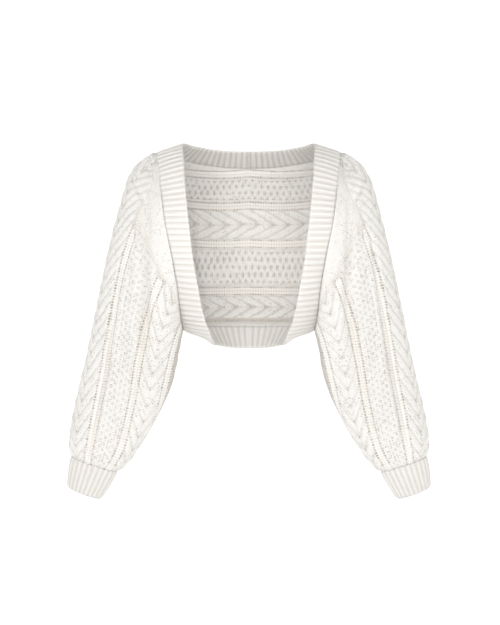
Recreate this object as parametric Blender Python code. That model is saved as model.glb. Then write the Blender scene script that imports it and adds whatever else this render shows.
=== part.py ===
"""A cable-knit shrug, filled out as it is worn, with nobody in it.

The knitting runs from cuff to cuff. A place on it has two coordinates:
  course  millimetres from the centre back towards the cuff, measured along the neck seam to the shoulder
          and from there along the top of the arm;
  wale    0 at the front side of the underarm seam, 0.5 on top of the arm, 1 at its back side.
Each course is one curve from the front over the top of the arm to the hem or the underarm seam. The back
is the courses up to the shoulder, and the sleeves are the rest. A ribbed band goes round the opening, from
the back neck down the fronts and under the arms to the back hem, and a ribbed cuff closes each wrist.
Up to the last lines lengths are in millimetres: +X is the wearer's left, -Y the front, +Z up.
"""
import functools

import bmesh
import bpy
import numpy as np

MM = 0.001
COLLECTION = "knitted_shrug"

# ---- driving sizes ------------------------------------------------------------------------------------
WALL = 2.5                # plain knitting
SEAM_GAP = 0.3            # between two pieces at a seam
CABLE_REPEAT = 34.0       # one chevron of a cable, along the wales
CABLE_SLANT = 24.0        # how far the middle of a chevron runs ahead of its ends
CABLE_RELIEF = 4.0
HONEYCOMB_CELL = 30.0
HONEYCOMB_RELIEF = 3.2
CORD_RELIEF = 3.4         # the round cord in the narrow strips between the panels
RIB_RELIEF = 2.6
RIBS_PER_HALF = 68        # of the band, from centre back neck to centre back hem
CUFF_RIBS = 24
RIB_START = 0.16          # across a band or cuff from its seam, where its ribs reach their full height
RIB_END = 0.93            # and where they fall away to the free edge
RIB_AT_EDGE = 0.4         # the share of their height left at the free edge
EDGE_ROUND = 0.8          # how far the free edge turns in
BAND_PUFF = 1.0           # how far the band stands out from a flat strip
CUFF_PUFF = 0.9           # and the cuff, below its seam
SLEEVE_GIRTH = 690.0      # all round the sleeve at the underarm
FADE = 26.0               # the pattern starts flat at a seam, over this length
INNER_ROW = 48.0          # spacing of the points of the plain inner side of a sleeve
BACK_INNER_ROW = 27.0     # and of the back
SEAM_ROW = 14.0           # spacing of the points along the neck and hem seams
SAMPLES = 97              # points worked out along each half of a course
TINY = 1e-9

# ---- the courses: top and hem end of each, and how far it stands out to the front and the back ---------
COURSE_COLUMNS = ("top_x", "top_y", "top_z", "hem_x", "hem_y", "hem_z", "front", "lean", "back", "roundness")
COURSE_ROWS = (
    # on the neck seam
    (0, 100, -32, 0, 112, -354, 0, 0, 16, 0.30),
    (67, 93, -29, 50, 104, -354, 0, 0, 20, 0.35),
    (134, 62, -20, 88, 80, -354, 0, 0, 32, 0.50),
    # the shoulder, and from here along the top of the arm
    (176, 8, -11, 108, 44, -355, 0, 0.3, 50, 0.80),
    (210, 5, -29, 119, 18, -357, 22, 0.3, 56, 1.00),
    # the underarm, where the sleeve closes
    (234, 2, -64, 127, -6, -359, 70, 0.2, 58, 1.00),
    (254, -5, -135, 134, -20, -386, 72, 0.1, 56, 1.00),
    (275, -10, -222, 140, -20, -425, 58, 0, 52, 1.00),
    (293, -14, -312, 150, -20, -466, 48, 0, 47, 1.00),
    (311, -17, -404, 166, -20, -504, 46, 0, 46, 1.00),
    (329, -19, -481, 188, -20, -547, 48, 0, 47, 1.00),
    (343, -20, -546, 215, -20, -588, 48, 0, 46, 1.00),
    (346, -20, -580, 237, -20, -616, 42, 0, 41, 1.00),
    # the cuff seam
    (343, -20, -602, 255, -20, -632, 34, 0, 34, 1.00),
)
SHOULDER_ROW = 3
UNDERARM_ROW = 5
NECK_WALE = 0.535         # the wale along which the neck seam starts, at the centre back

# ---- the opening: band seam and free edge, from the centre back neck round to the centre back hem ------
OPENING_COLUMNS = ("seam_x", "seam_y", "seam_z", "edge_x", "edge_y", "edge_z")
NECK_ROWS = (
    (0, 100, -32, 0, 66, -3),
    (67, 93, -29, 58, 57, -2),
    (134, 62, -20, 104, 30, 2),
    (176, 8, -11, 127, -5, 2),
)
FRONT_ROWS = (
    (173, -42, -50, 125.5, -48, -36),
    (165, -68, -104, 120.5, -80, -99),
    (158, -78, -155, 114.5, -95, -156),
    (145, -77, -218, 107, -98, -219),
    (136, -66, -276, 97, -90, -280),
    (132, -42, -330, 86.5, -64, -335),
    (127, -6, -359, 73.5, -18, -373),
)
HEM_ROWS = (
    (119, 18, -357, 69, 18, -385),
    (108, 44, -355, 69, 46, -389),
    (88, 80, -354, 63, 72, -391),
    (50, 104, -354, 38, 98, -395),
    (0, 112, -354, 0, 108, -396),
)

# ---- the panels across the knitting --------------------------------------------------------------------
# kind: wheat is a cable of chevrons, comb a honeycomb, cord a narrow strip with a round cord, and plain
PANEL_COLUMNS = ("kind", "start", "end", "columns")
PANEL_ROWS = (
    ("plain", 0.000, 0.040, 1),
    ("cord", 0.040, 0.070, 2),
    ("wheat", 0.070, 0.190, 4),
    ("cord", 0.190, 0.220, 2),
    ("comb", 0.220, 0.350, 4),
    ("cord", 0.350, 0.380, 2),
    ("wheat", 0.380, 0.540, 4),
    ("cord", 0.540, 0.560, 2),
    ("comb", 0.560, 0.633, 4),
    ("cord", 0.633, 0.655, 2),
    ("wheat", 0.655, 0.742, 4),
    ("cord", 0.742, 0.768, 2),
    ("comb", 0.768, 0.880, 4),
    ("cord", 0.880, 0.908, 2),
    ("wheat", 0.908, 0.975, 4),
    ("plain", 0.975, 1.000, 1),
)

# ---- the sleeve's strips wind a little round the arm towards the cuff -----------------------------------
TWIST_COLUMNS = ("course", "wales")
TWIST_ROWS = ((292, 0.0), (560, 0.0), (700, 0.03), (820, 0.07), (845, 0.075))

# ---- folds of the sleeve: the troughs, each with its half width in wales and a row for every place on it --
FOLD_COLUMNS = ("course", "turn", "depth")
FOLDS = {
    "elbow": (0.034, ((262, 0.42, 0), (285, 0.37, 6), (320, 0.31, 11), (400, 0.24, 12), (550, 0.19, 11),
                      (660, 0.165, 8), (776, 0.148, 4), (825, 0.14, 0))),
    "strip": (0.020, ((380, 0.385, 0), (450, 0.372, 5), (562, 0.357, 7), (650, 0.335, 7), (721, 0.318, 7),
                      (800, 0.295, 4), (840, 0.285, 0))),
    "behind": (0.030, ((300, 0.74, 0), (380, 0.73, 8), (520, 0.72, 10), (680, 0.74, 5), (800, 0.76, 0))),
    "underarm": (0.028, ((300, 0.93, 0), (340, 0.90, 8), (430, 0.87, 9), (560, 0.86, 5), (650, 0.86, 0))),
}

# ---- the cuff's free edge: its outer and inner ends, and half its depth front to back -------------------
CUFF_OUTER = (350, -20, -660)
CUFF_INNER = (287, -20, -684)
CUFF_DEPTH = 30

BACKWARD = np.array([0.0, 1.0, 0.0])
MIRROR = np.array([-1.0, 1.0, 1.0])


def unit(vector):
    return vector / np.linalg.norm(vector)


def mix(a, b, share):
    return a + (b - a) * share


def lengths(points):
    """How far each point is along the line through them all."""
    steps = np.linalg.norm(np.diff(points, axis=0), axis=1)
    return np.concatenate([[0.0], np.cumsum(steps)])


def table(names, rows):
    """The columns of a table by their names."""
    return dict(zip(names, np.array(rows, float).T))


def places(columns, end):
    """The points in the three columns of one end, such as hem_x, hem_y and hem_z."""
    return np.stack([columns[f"{end}_{axis}"] for axis in "xyz"], axis=1)


def sided(course, value):
    """A point or direction of the wearer's left half, or its mirror image where the course is negative."""
    return value if course >= 0 else value * MIRROR


def both_sides(courses):
    return [-c for c in courses[:0:-1]] + list(courses)


class Line:
    """A smooth curve through rows of values, each at its own station."""

    def __init__(self, stations, rows, before=None, after=None):
        s = list(stations)
        r = [np.asarray(row, float) for row in rows]
        if before is not None:
            s.insert(0, before[0])
            r.insert(0, np.asarray(before[1], float))
        if after is not None:
            s.append(after[0])
            r.append(np.asarray(after[1], float))
        s, r = np.array(s, float), np.array(r, float)
        ahead = np.minimum(np.arange(len(s)) + 1, len(s) - 1)
        behind = np.maximum(np.arange(len(s)) - 1, 0)
        span = (s[ahead] - s[behind]).reshape(-1, *[1] * (r.ndim - 1))
        slopes = (r[ahead] - r[behind]) / span
        kept = slice(0 if before is None else 1, len(s) if after is None else len(s) - 1)
        self.stations, self.rows, self.slopes = s[kept], r[kept], slopes[kept]

    def __call__(self, station):
        s = np.clip(station, self.stations[0], self.stations[-1])
        i = int(np.clip(np.searchsorted(self.stations, s, "right") - 1, 0, len(self.stations) - 2))
        step = self.stations[i + 1] - self.stations[i]
        t = (s - self.stations[i]) / step
        return (
            self.rows[i] * (1 + 2 * t) * (1 - t) ** 2
            + self.slopes[i] * step * t * (1 - t) ** 2
            + self.rows[i + 1] * t * t * (3 - 2 * t)
            + self.slopes[i + 1] * step * t * t * (t - 1)
        )


# ---- the seam and the free edge of the opening, for the wearer's left half ------------------------------
OPENING = table(OPENING_COLUMNS, NECK_ROWS + FRONT_ROWS + HEM_ROWS)
SEAM_KEYS, EDGE_KEYS = places(OPENING, "seam"), places(OPENING, "edge")
SEAM_STATIONS = lengths((SEAM_KEYS + EDGE_KEYS) / 2)
HALF_LOOP = SEAM_STATIONS[-1]
SHOULDER_STATION = SEAM_STATIONS[len(NECK_ROWS) - 1]
UNDERARM_STATION = SEAM_STATIONS[len(NECK_ROWS) + len(FRONT_ROWS) - 1]


def half_loop_line(keys):
    """A curve through the keys that goes on smoothly into its own mirror image at both ends."""
    before = (-SEAM_STATIONS[1], keys[1] * MIRROR)
    after = (2 * HALF_LOOP - SEAM_STATIONS[-2], keys[-2] * MIRROR)
    return Line(SEAM_STATIONS, keys, before, after)


SEAM = half_loop_line(SEAM_KEYS)
EDGE = half_loop_line(EDGE_KEYS)

# ---- the courses -----------------------------------------------------------------------------------------
COURSES = table(COURSE_COLUMNS, COURSE_ROWS)
TOPS = places(COURSES, "top")
COURSE_AT = lengths(TOPS)
SHOULDER = COURSE_AT[SHOULDER_ROW]
UNDERARM = COURSE_AT[UNDERARM_ROW]
CUFF_SEAM = COURSE_AT[-1]
CREST = Line(COURSE_AT[SHOULDER_ROW:], TOPS[SHOULDER_ROW:])
UNDERSIDE = Line(COURSE_AT[UNDERARM_ROW:], places(COURSES, "hem")[UNDERARM_ROW:])
SHAPE = Line(COURSE_AT, np.stack([COURSES[name] for name in ("front", "lean", "back", "roundness")], axis=1))
NECK_STATION = Line(COURSE_AT[: SHOULDER_ROW + 1], SEAM_STATIONS[: SHOULDER_ROW + 1])
HEM_STATION = Line(COURSE_AT[: UNDERARM_ROW + 1], SEAM_STATIONS[::-1][: UNDERARM_ROW + 1])


def top_station(course):
    """Where on the opening's seam a course starts: on the neck, or on the front."""
    if course <= SHOULDER:
        return float(NECK_STATION(course))
    share = (course - SHOULDER) / (UNDERARM - SHOULDER)
    return mix(SHOULDER_STATION, UNDERARM_STATION, min(share, 1.0))


def top_wale(course):
    """The wale on which a course starts."""
    if course <= SHOULDER:
        return mix(NECK_WALE, 0.5, course / SHOULDER)
    return 0.5 * max(0.0, (UNDERARM - course) / (UNDERARM - SHOULDER))


def front_course(wale):
    """The course that starts on the front seam at a wale."""
    return mix(UNDERARM, SHOULDER, 2 * wale)


def bow(start, end, stand, roundness):
    """A line from start to end that stands out sideways by the vector stand at its middle."""
    t = np.linspace(0, 1, SAMPLES)[:, None]
    along = mix(t, t * t * (3 - 2 * t), roundness)
    return start + (end - start) * along + stand * 4 * t * (1 - t)


@functools.lru_cache(None)
def course_line(course):
    """The plain outer surface along one course: its points, and the wale of each."""
    front, lean, back, roundness = SHAPE(course)
    hem = SEAM(float(HEM_STATION(course))) if course < UNDERARM else UNDERSIDE(course)
    if course <= SHOULDER:
        points = bow(SEAM(top_station(course)), hem, back * BACKWARD, roundness)
        far = lengths(points)
        return points, mix(top_wale(course), 1.0, far / far[-1])
    crest = CREST(course)
    start = SEAM(top_station(course)) if course < UNDERARM else hem
    forward = unit(np.array([-lean, -1.0, 0.0]))
    before = bow(start, crest, front * forward, 1.0)
    behind = bow(crest, hem, back * BACKWARD, roundness)
    far_before, far_behind = lengths(before), lengths(behind)
    wales = [
        mix(top_wale(course), 0.5, far_before / far_before[-1]),
        mix(0.5, 1.0, far_behind / far_behind[-1])[1:],
    ]
    return np.concatenate([before, behind[1:]]), np.concatenate(wales)


TWIST = table(TWIST_COLUMNS, TWIST_ROWS)
TWISTING = Line(TWIST["course"], TWIST["wales"])


def ring_point(course, turn):
    """A place on the plain outer surface by its share of the way round, from the underarm to the underarm."""
    points, turns = course_line(round(float(course), 6))
    return np.array([np.interp(turn, turns, points[:, k]) for k in range(3)])


def turn_at(course, wale):
    """The share of the way round at which a wale lies."""
    return wale if course <= UNDERARM else (wale - float(TWISTING(course))) % 1.0


def plain_point(course, wale):
    return ring_point(course, turn_at(course, wale))


@functools.lru_cache(None)
def ring_normal(course, turn):
    """The outward direction of the plain surface."""
    reach, spread = 4.0, 0.006
    low = max(course - reach, 0.0)
    high = min(course + reach, CUFF_SEAM)
    if course >= UNDERARM:
        across = ring_point(course, (turn + spread) % 1.0) - ring_point(course, (turn - spread) % 1.0)
        middle = turn
    else:
        inner = top_wale(course) + 1e-6
        across = ring_point(course, min(turn + spread, 1.0)) - ring_point(course, max(turn - spread, inner))
        middle = float(np.clip(turn, max(top_wale(low), inner), 1.0))
    along = ring_point(high, middle) - ring_point(low, middle)
    return unit(np.cross(along, across))


def plain_normal(course, wale):
    return ring_normal(course, turn_at(course, wale))


def fold_line(rows):
    columns = table(FOLD_COLUMNS, rows)
    return Line(columns["course"], np.stack([columns["turn"], columns["depth"]], axis=1))


FOLD_LINES = [(width, fold_line(rows)) for width, rows in FOLDS.values()]


def fold_depth(course, turn):
    """How far the folds push the cloth in at a place."""
    depth = 0.0
    for width, line in FOLD_LINES:
        if line.stations[0] < course < line.stations[-1]:
            middle, deep = line(course)
            depth += max(deep, 0.0) * np.exp(-(((turn - middle) / width) ** 2))
    return depth


def folded(course, wale):
    """The plain outer surface with its folds, and its outward direction."""
    turn = turn_at(course, wale)
    normal = ring_normal(course, turn)
    return ring_point(course, turn) - normal * fold_depth(course, turn), normal


# ---- the pattern -----------------------------------------------------------------------------------------
class Panel:
    """One band of the pattern, with its own count of repeats, taken along its middle wale."""

    def __init__(self, kind, start, end, columns):
        self.kind, self.start, self.end, self.columns = kind, start, end, columns
        self.repeat = CABLE_REPEAT if kind == "wheat" else HONEYCOMB_CELL
        middle = (start + end) / 2
        if middle > 0.5:
            half = np.linspace(0, CUFF_SEAM, 90)
            self.courses = np.array(both_sides(half))
            reached = lengths(np.array([plain_point(c, middle) for c in half]))
            self.reached = np.array(both_sides(reached))
        else:
            self.courses = np.linspace(front_course(middle), CUFF_SEAM, 90)
            self.reached = lengths(np.array([plain_point(c, middle) for c in self.courses]))

    def far(self, course):
        """Millimetres along the panel at a course. Beyond the panel's start it goes on evenly."""
        beyond = min(course - self.courses[0], 0.0)
        return beyond + float(np.interp(course, self.courses, self.reached))

    def course(self, far):
        beyond = min(far - self.reached[0], 0.0)
        return beyond + float(np.interp(far, self.reached, self.courses))

    def slant(self, across):
        """How far the cable runs ahead at a place across the panel, from 0 to 1."""
        return CABLE_SLANT * (1 - abs(2 * across - 1)) if self.kind == "wheat" else 0.0

    def relief(self, course, wale):
        across = np.clip((wale - self.start) / (self.end - self.start), 0.0, 1.0)
        if self.kind == "plain":
            return 0.0
        if self.kind == "cord":
            return CORD_RELIEF * np.sin(np.pi * across) ** 2
        turn = 2 * np.pi * (self.far(course) - self.slant(across)) / self.repeat
        swell = min(1.0, 5 * across, 5 * (1 - across))
        if self.kind == "wheat":
            return CABLE_RELIEF * swell * (0.55 + 0.45 * np.cos(turn))
        return HONEYCOMB_RELIEF * swell * (0.5 + 0.5 * np.cos(turn) * np.cos(4 * np.pi * (across - 0.25)))


PANELS = [Panel(**dict(zip(PANEL_COLUMNS, row))) for row in PANEL_ROWS]


def wale_columns():
    """Each column of points: its wale, and the panel that sets its rows."""
    columns = [(0.0, PANELS[2])]
    for number, panel in enumerate(PANELS):
        if panel.kind in ("wheat", "comb"):
            pace = panel
        else:
            pace = PANELS[max(number - 1, 2)]
        for step in range(1, panel.columns + 1):
            columns.append((mix(panel.start, panel.end, step / panel.columns), pace))
    columns[-1] = (1.0, PANELS[-2])
    return columns


def fade(course, wale):
    """The share of the pattern's relief at a place: it grows from nothing at the band and the cuff."""
    near = (CUFF_SEAM - course) / FADE
    if abs(course) < UNDERARM:
        near = min(near, (wale - top_wale(abs(course))) * SLEEVE_GIRTH / FADE)
    return float(np.clip(near, 0.0, 1.0))


def relief(course, wale):
    """How far the pattern stands out at a place."""
    panel = next(panel for panel in PANELS if wale <= panel.end + TINY)
    return panel.relief(course, wale) * fade(course, wale)


def rows_between(pace, wale, first, last):
    """The courses of a column's points between two courses, on the tops and in the valleys of its cable."""
    half = pace.repeat / 2
    across = np.clip((wale - pace.start) / (pace.end - pace.start), 0.0, 1.0)
    slant = pace.slant(across)
    count = range(int((pace.far(first) - slant) / half) - 1, int(pace.far(last) / half) + 2)
    courses = [pace.course(number * half + slant) for number in count]
    margin = 0.25 * half
    return [c for c in courses if first + margin < c < last - margin]


# ---- the seams ---------------------------------------------------------------------------------------------
def band_normal(station):
    """The outward direction of the band."""
    ahead, behind = min(station + 3.0, HALF_LOOP), max(station - 3.0, 0.0)
    along = (SEAM(ahead) + EDGE(ahead)) - (SEAM(behind) + EDGE(behind))
    return unit(np.cross(EDGE(station) - SEAM(station), along))


def joint(station, course, wale, inward_wale):
    """A place on the band's seam: the point, the direction across the seam from the band towards the panel,
    and the way to the inner side. Both walls end on the plane that halves the angle between them."""
    panel_side = plain_normal(course, wale + 0.01 * inward_wale)
    band_side = band_normal(station)
    middle = unit(panel_side + band_side)
    share = max(float(middle @ band_side), 0.6)
    point = SEAM(station)
    ahead, behind = min(station + 2.0, HALF_LOOP), max(station - 2.0, 0.0)
    along = unit(SEAM(ahead) - SEAM(behind))
    across = unit(np.cross(along, middle))
    if across @ (point - EDGE(station)) < 0:
        across = -across
    inward = -middle * WALL / share
    if station in (0.0, HALF_LOOP):
        across = unit(across * (0, 1, 1))
        inward = inward * (0, 1, 1)
    return point, across, inward


class Wall:
    """The points and faces of one closed wall of cloth. A rail is a list of (station, point number)."""

    def __init__(self):
        self.points = []
        self.heights = []
        self.faces = []

    def add(self, point, height=0.0):
        """A point, and how far it stands out from the plain cloth."""
        self.points.append(np.asarray(point, float))
        self.heights.append(height)
        return len(self.points) - 1

    def cell(self, a, b, c, d):
        """Two faces that meet along the cell's ridge."""
        if self.heights[a] + self.heights[c] >= self.heights[b] + self.heights[d]:
            self.faces += [(a, b, c), (a, c, d)]
        else:
            self.faces += [(a, b, d), (b, c, d)]

    def strip(self, one, other):
        """Fills the space between two rails, a face at a time, always from the rail that lags."""
        i = j = 0
        while i < len(one) - 1 or j < len(other) - 1:
            a = one[i + 1][0] if i < len(one) - 1 else np.inf
            b = other[j + 1][0] if j < len(other) - 1 else np.inf
            if abs(a - b) < 1e-6:
                self.cell(one[i][1], one[i + 1][1], other[j + 1][1], other[j][1])
                i, j = i + 1, j + 1
            elif a < b:
                self.faces.append((one[i][1], one[i + 1][1], other[j][1]))
                i += 1
            else:
                self.faces.append((one[i][1], other[j + 1][1], other[j][1]))
                j += 1

    def object(self, name, material, mirrored=False, whole_by_mirror=False):
        mesh = bpy.data.meshes.new(name)
        scale = MM * (MIRROR if mirrored else np.ones(3))
        made = bmesh.new()
        vertices = [made.verts.new(point * scale) for point in self.points]
        for face in self.faces:
            corners = list(dict.fromkeys(face))
            if len(corners) > 2:
                made.faces.new([vertices[k] for k in corners])
        if whole_by_mirror:
            mirror_across_x(made)
        bmesh.ops.recalc_face_normals(made, faces=made.faces)
        made.to_mesh(mesh)
        made.free()
        mesh.materials.append(material)
        item = bpy.data.objects.new(name, mesh)
        bpy.data.collections[COLLECTION].objects.link(item)
        return item


def mirror_across_x(made):
    """Adds the other half of a piece that is open where it meets the plane x = 0."""
    every = made.verts[:] + made.edges[:] + made.faces[:]
    bmesh.ops.mirror(made, geom=every, axis="X", merge_dist=0.00002)


# ---- the pieces --------------------------------------------------------------------------------------------
def hem_courses():
    """The courses of the points along the hem seam, on the back and then on the sleeve."""
    back = np.linspace(0, SHOULDER, round(SHOULDER / SEAM_ROW) + 1)
    sleeve = np.linspace(SHOULDER, UNDERARM, round((UNDERARM - SHOULDER) / SEAM_ROW) + 1)
    return back, sleeve


def seam_ends(point, across, inward):
    """A panel's outer and inner point at the band's seam, from a joint."""
    outer = point + across * SEAM_GAP / 2
    return outer, outer + inward


def sleeve_starts(wales):
    """For each column of the sleeve but the last: the course it starts on, and its outer and inner point."""
    start = SHOULDER + SEAM_GAP
    down_the_arm = unit(CREST(SHOULDER + 5) - CREST(SHOULDER))
    starts = []
    for wale in wales:
        if wale < 0.5 - TINY:
            first = front_course(wale)
            ends = seam_ends(*joint(top_station(first), first, wale, 1))
        elif wale < 0.5 + TINY:
            first = start
            ends = seam_ends(*joint(SHOULDER_STATION, SHOULDER + 2, wale, 1))
            ends = tuple(end + down_the_arm * SEAM_GAP for end in ends)
        else:
            first = start
            point, normal = folded(first, wale)
            ends = (point, point - normal * WALL)
        starts.append((first, ends))
    return starts


def hem_rails(wall, courses):
    """The sleeve's outer and inner points on the hem seam, from the shoulder line towards the underarm."""
    start = courses[0] + SEAM_GAP
    along = unit(plain_point(start + 5, 1.0) - plain_point(start, 1.0))
    outer, inner = [], []
    for course in courses:
        ends = seam_ends(*joint(float(HEM_STATION(course)), max(course, SHOULDER + 1), 1.0, -1))
        if course == courses[0]:
            ends = tuple(end + along * SEAM_GAP for end in ends)
        outer.append((course, wall.add(ends[0])))
        inner.append((course, wall.add(ends[1])))
    return outer, inner


def sleeve_wall():
    """Shoulder, upper front and sleeve, down to the cuff seam, for the wearer's left."""
    wall = Wall()
    finish = CUFF_SEAM - SEAM_GAP / 2
    columns = wale_columns()[:-1]
    starts = sleeve_starts([wale for wale, _ in columns])
    inner_courses = [
        *np.linspace(SHOULDER, UNDERARM, 4)[1:-1],
        *np.linspace(UNDERARM, finish, round((finish - UNDERARM) / INNER_ROW) + 1),
    ]
    outer_rails, inner_rails = [], []
    for number, (wale, pace) in enumerate(columns):
        first, ends = starts[number]
        outer = [(first, wall.add(ends[0]))]
        inner = [(first, wall.add(ends[1]))]
        # beside the front seam a point level with the start of the column before keeps the cloth round
        beside = [starts[number - 1][0]] if 0 < wale < 0.5 + TINY else []
        rows = rows_between(pace, wale, beside[0] if beside else first, finish)
        for course in [*beside, *rows, finish]:
            point, normal = folded(course, wale)
            height = relief(course, wale) if course < finish else 0.0
            outer.append((course, wall.add(point + normal * height, height)))
        for course in inner_courses:
            if course > first + SEAM_ROW / 2:
                point, normal = folded(course, wale)
                inner.append((course, wall.add(point - normal * WALL)))
        outer_rails.append(outer)
        inner_rails.append(inner)
    # the last column is the hem seam up to the underarm, and from there it is the first column again
    hem_outer, hem_inner = hem_rails(wall, hem_courses()[1][:-1])
    outer_rails.append(hem_outer + outer_rails[0])
    inner_rails.append(hem_inner + inner_rails[0])
    for rails in (outer_rails, inner_rails):
        for one, other in zip(rails, rails[1:]):
            wall.strip(one, other)
    # the rims: down the shoulder line, round the opening and back, and round the wrist
    rims = []
    for rails, hem in ((outer_rails, hem_outer), (inner_rails, hem_inner)):
        middle = next(k for k, (wale, _) in enumerate(columns) if abs(wale - 0.5) < TINY)
        started = [rail[0][1] for rail in rails[:-1]]
        rims.append(started[middle::-1] + [number for _, number in hem[::-1]] + started[:middle - 1:-1])
    wall.strip(list(enumerate(rims[0])), list(enumerate(rims[1])))
    wall.strip(
        [(k, rail[-1][1]) for k, rail in enumerate(outer_rails)],
        [(k, rail[-1][1]) for k, rail in enumerate(inner_rails)],
    )
    return wall


def back_wall():
    """The back, from one shoulder line to the other. Its courses are negative on the wearer's right."""
    wall = Wall()
    finish = SHOULDER - SEAM_GAP
    seam_rows = both_sides(hem_courses()[0])
    inner_rows = both_sides(np.linspace(0, finish, round(finish / BACK_INNER_ROW) + 1))
    outer_rails, inner_rails = [], []

    def seam_rail(station_of, wale_of, inward_wale):
        outer, inner = [], []
        for signed in seam_rows:
            course = abs(signed)
            near = min(course, SHOULDER - 1)
            ends = seam_ends(*joint(station_of(course), near, wale_of(course), inward_wale))
            if course == seam_rows[-1]:
                back = plain_point(finish - 5, wale_of(finish)) - plain_point(finish, wale_of(finish))
                ends = tuple(end + unit(back) * SEAM_GAP for end in ends)
            outer.append((signed, wall.add(sided(signed, ends[0]))))
            inner.append((signed, wall.add(sided(signed, ends[1]))))
        return outer, inner

    def rail(courses, wale, height_at):
        made = []
        for signed in courses:
            point, normal = folded(abs(signed), wale)
            height = height_at(signed)
            made.append((signed, wall.add(sided(signed, point + normal * height), height)))
        return made

    top = seam_rail(top_station, top_wale, 1)
    outer_rails.append(top[0])
    inner_rails.append(top[1])
    for wale, pace in wale_columns():
        if 0.5 + TINY < wale < 1 - TINY:
            outer_rows = [-finish, *rows_between(pace, wale, -finish, finish), finish]
            outer_rails.append(rail(outer_rows, wale, lambda c: relief(c, wale) if abs(c) < finish else 0.0))
            inner_rails.append(rail(inner_rows, wale, lambda c: -WALL))
    hem = seam_rail(lambda c: float(HEM_STATION(c)), lambda c: 1.0, -1)
    outer_rails.append(hem[0])
    inner_rails.append(hem[1])
    for rails in (outer_rails, inner_rails):
        for one, other in zip(rails, rails[1:]):
            wall.strip(one, other)
    wall.strip(outer_rails[0], inner_rails[0])
    wall.strip(outer_rails[-1], inner_rails[-1])
    for end in (0, -1):
        wall.strip(
            [(k, rail[end][1]) for k, rail in enumerate(outer_rails)],
            [(k, rail[end][1]) for k, rail in enumerate(inner_rails)],
        )
    return wall


def seam_knots():
    """The places on the half loop where the back and the sleeve have their points, as (station, joint)."""
    back, sleeve = hem_courses()
    knots = [(0.0 if c == 0 else top_station(c), min(c, SHOULDER - 1), top_wale(c), 1) for c in back]
    for wale, _ in wale_columns():
        if wale < 0.5 - TINY:
            course = front_course(wale)
            knots.append((top_station(course), course, wale, 1))
    for course in sleeve[:-1]:
        knots.append((float(HEM_STATION(course)), max(course, SHOULDER + 1), 1.0, -1))
    for course in back[:-1]:
        station = HALF_LOOP if course == 0 else float(HEM_STATION(course))
        knots.append((station, min(course, SHOULDER - 1), 1.0, -1))
    knots.sort(key=lambda knot: knot[0])
    stations = np.array([knot[0] for knot in knots])
    joints = np.array([joint(*knot) for knot in knots])
    return stations, joints


def band_wall():
    """The wearer's left half of the band, open at the centre back neck and the centre back hem."""
    wall = Wall()
    stations, joints = seam_knots()

    def seam_place(station):
        """The joint on the straight run between two of the panels' points."""
        return [
            np.array([np.interp(station, stations, joints[:, part, k]) for k in range(3)]) for part in range(3)
        ]

    count = 2 * RIBS_PER_HALF
    outer, inner = [[], [], [], []], [[], [], []]
    for number in range(count + 1):
        station = HALF_LOOP * number / count
        rise = RIB_RELIEF * (number % 2)
        point, across, inward = seam_place(station)
        normal = band_normal(station)
        if number in (0, count):
            normal = unit(normal * (0, 1, 1))
        seam = point - across * SEAM_GAP / 2
        edge = EDGE(station)
        spots = (
            seam,
            mix(seam, edge, RIB_START) + normal * (rise + BAND_PUFF),
            mix(seam, edge, RIB_END) + normal * (rise + BAND_PUFF),
            edge + normal * (rise * RIB_AT_EDGE - EDGE_ROUND),
        )
        for rail, spot in zip(outer, spots):
            rail.append((station, wall.add(spot)))
        inner_edge = edge - normal * WALL
        for rail, spot in zip(inner, (seam + inward, mix(seam + inward, inner_edge, 0.5), inner_edge)):
            rail.append((station, wall.add(spot)))
    rails = [inner[0], *outer, inner[2], inner[1], inner[0]]
    for one, other in zip(rails, rails[1:]):
        wall.strip(one, other)
    for rail in outer + inner:
        for _, number in (rail[0], rail[-1]):
            wall.points[number][0] = 0.0
    return wall


def cuff_wall():
    """The wearer's left cuff, from its seam to its free edge."""
    wall = Wall()
    top = CUFF_SEAM
    outer_end, inner_end = np.array(CUFF_OUTER, float), np.array(CUFF_INNER, float)
    front = bow(inner_end, outer_end, -CUFF_DEPTH * BACKWARD, 1.0)
    behind = bow(outer_end, inner_end, CUFF_DEPTH * BACKWARD, 1.0)
    ring = np.concatenate([front, behind[1:]])
    far = lengths(ring) / lengths(ring)[-1]
    axis = unit((outer_end + inner_end - CREST(top) - UNDERSIDE(top)) / 2)
    columns = 2 * CUFF_RIBS
    outer, inner = [[], [], [], []], [[], []]
    for number in range(columns):
        turn = number / columns
        rise = RIB_RELIEF * (number % 2)
        seam = ring_point(top, turn)
        edge = np.array([np.interp(turn, far, ring[:, k]) for k in range(3)])
        seam_out = ring_normal(top, turn)
        seam_out = unit(seam_out - axis * (seam_out @ axis))
        seam = seam + axis * SEAM_GAP / 2
        spots = (
            seam,
            mix(seam, edge, RIB_START) + seam_out * (rise + CUFF_PUFF),
            mix(seam, edge, RIB_END) + seam_out * (rise + CUFF_PUFF / 2),
            edge + seam_out * (rise * RIB_AT_EDGE - EDGE_ROUND),
        )
        for rail, spot in zip(outer, spots):
            rail.append(wall.add(spot))
        for rail, spot in zip(inner, (seam - seam_out * WALL, edge - seam_out * WALL)):
            rail.append(wall.add(spot))
    rings = [inner[0], *outer, inner[1], inner[0]]
    for one, other in zip(rings, rings[1:]):
        wall.strip(list(enumerate(one + one[:1])), list(enumerate(other + other[:1])))
    return wall


def wool(name, colour):
    material = bpy.data.materials.new(name)
    material.use_nodes = True
    shader = material.node_tree.nodes["Principled BSDF"]
    shader.inputs["Base Color"].default_value = (*colour, 1.0)
    shader.inputs["Roughness"].default_value = 0.9
    shader.inputs["Metallic"].default_value = 0.0
    return material


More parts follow.
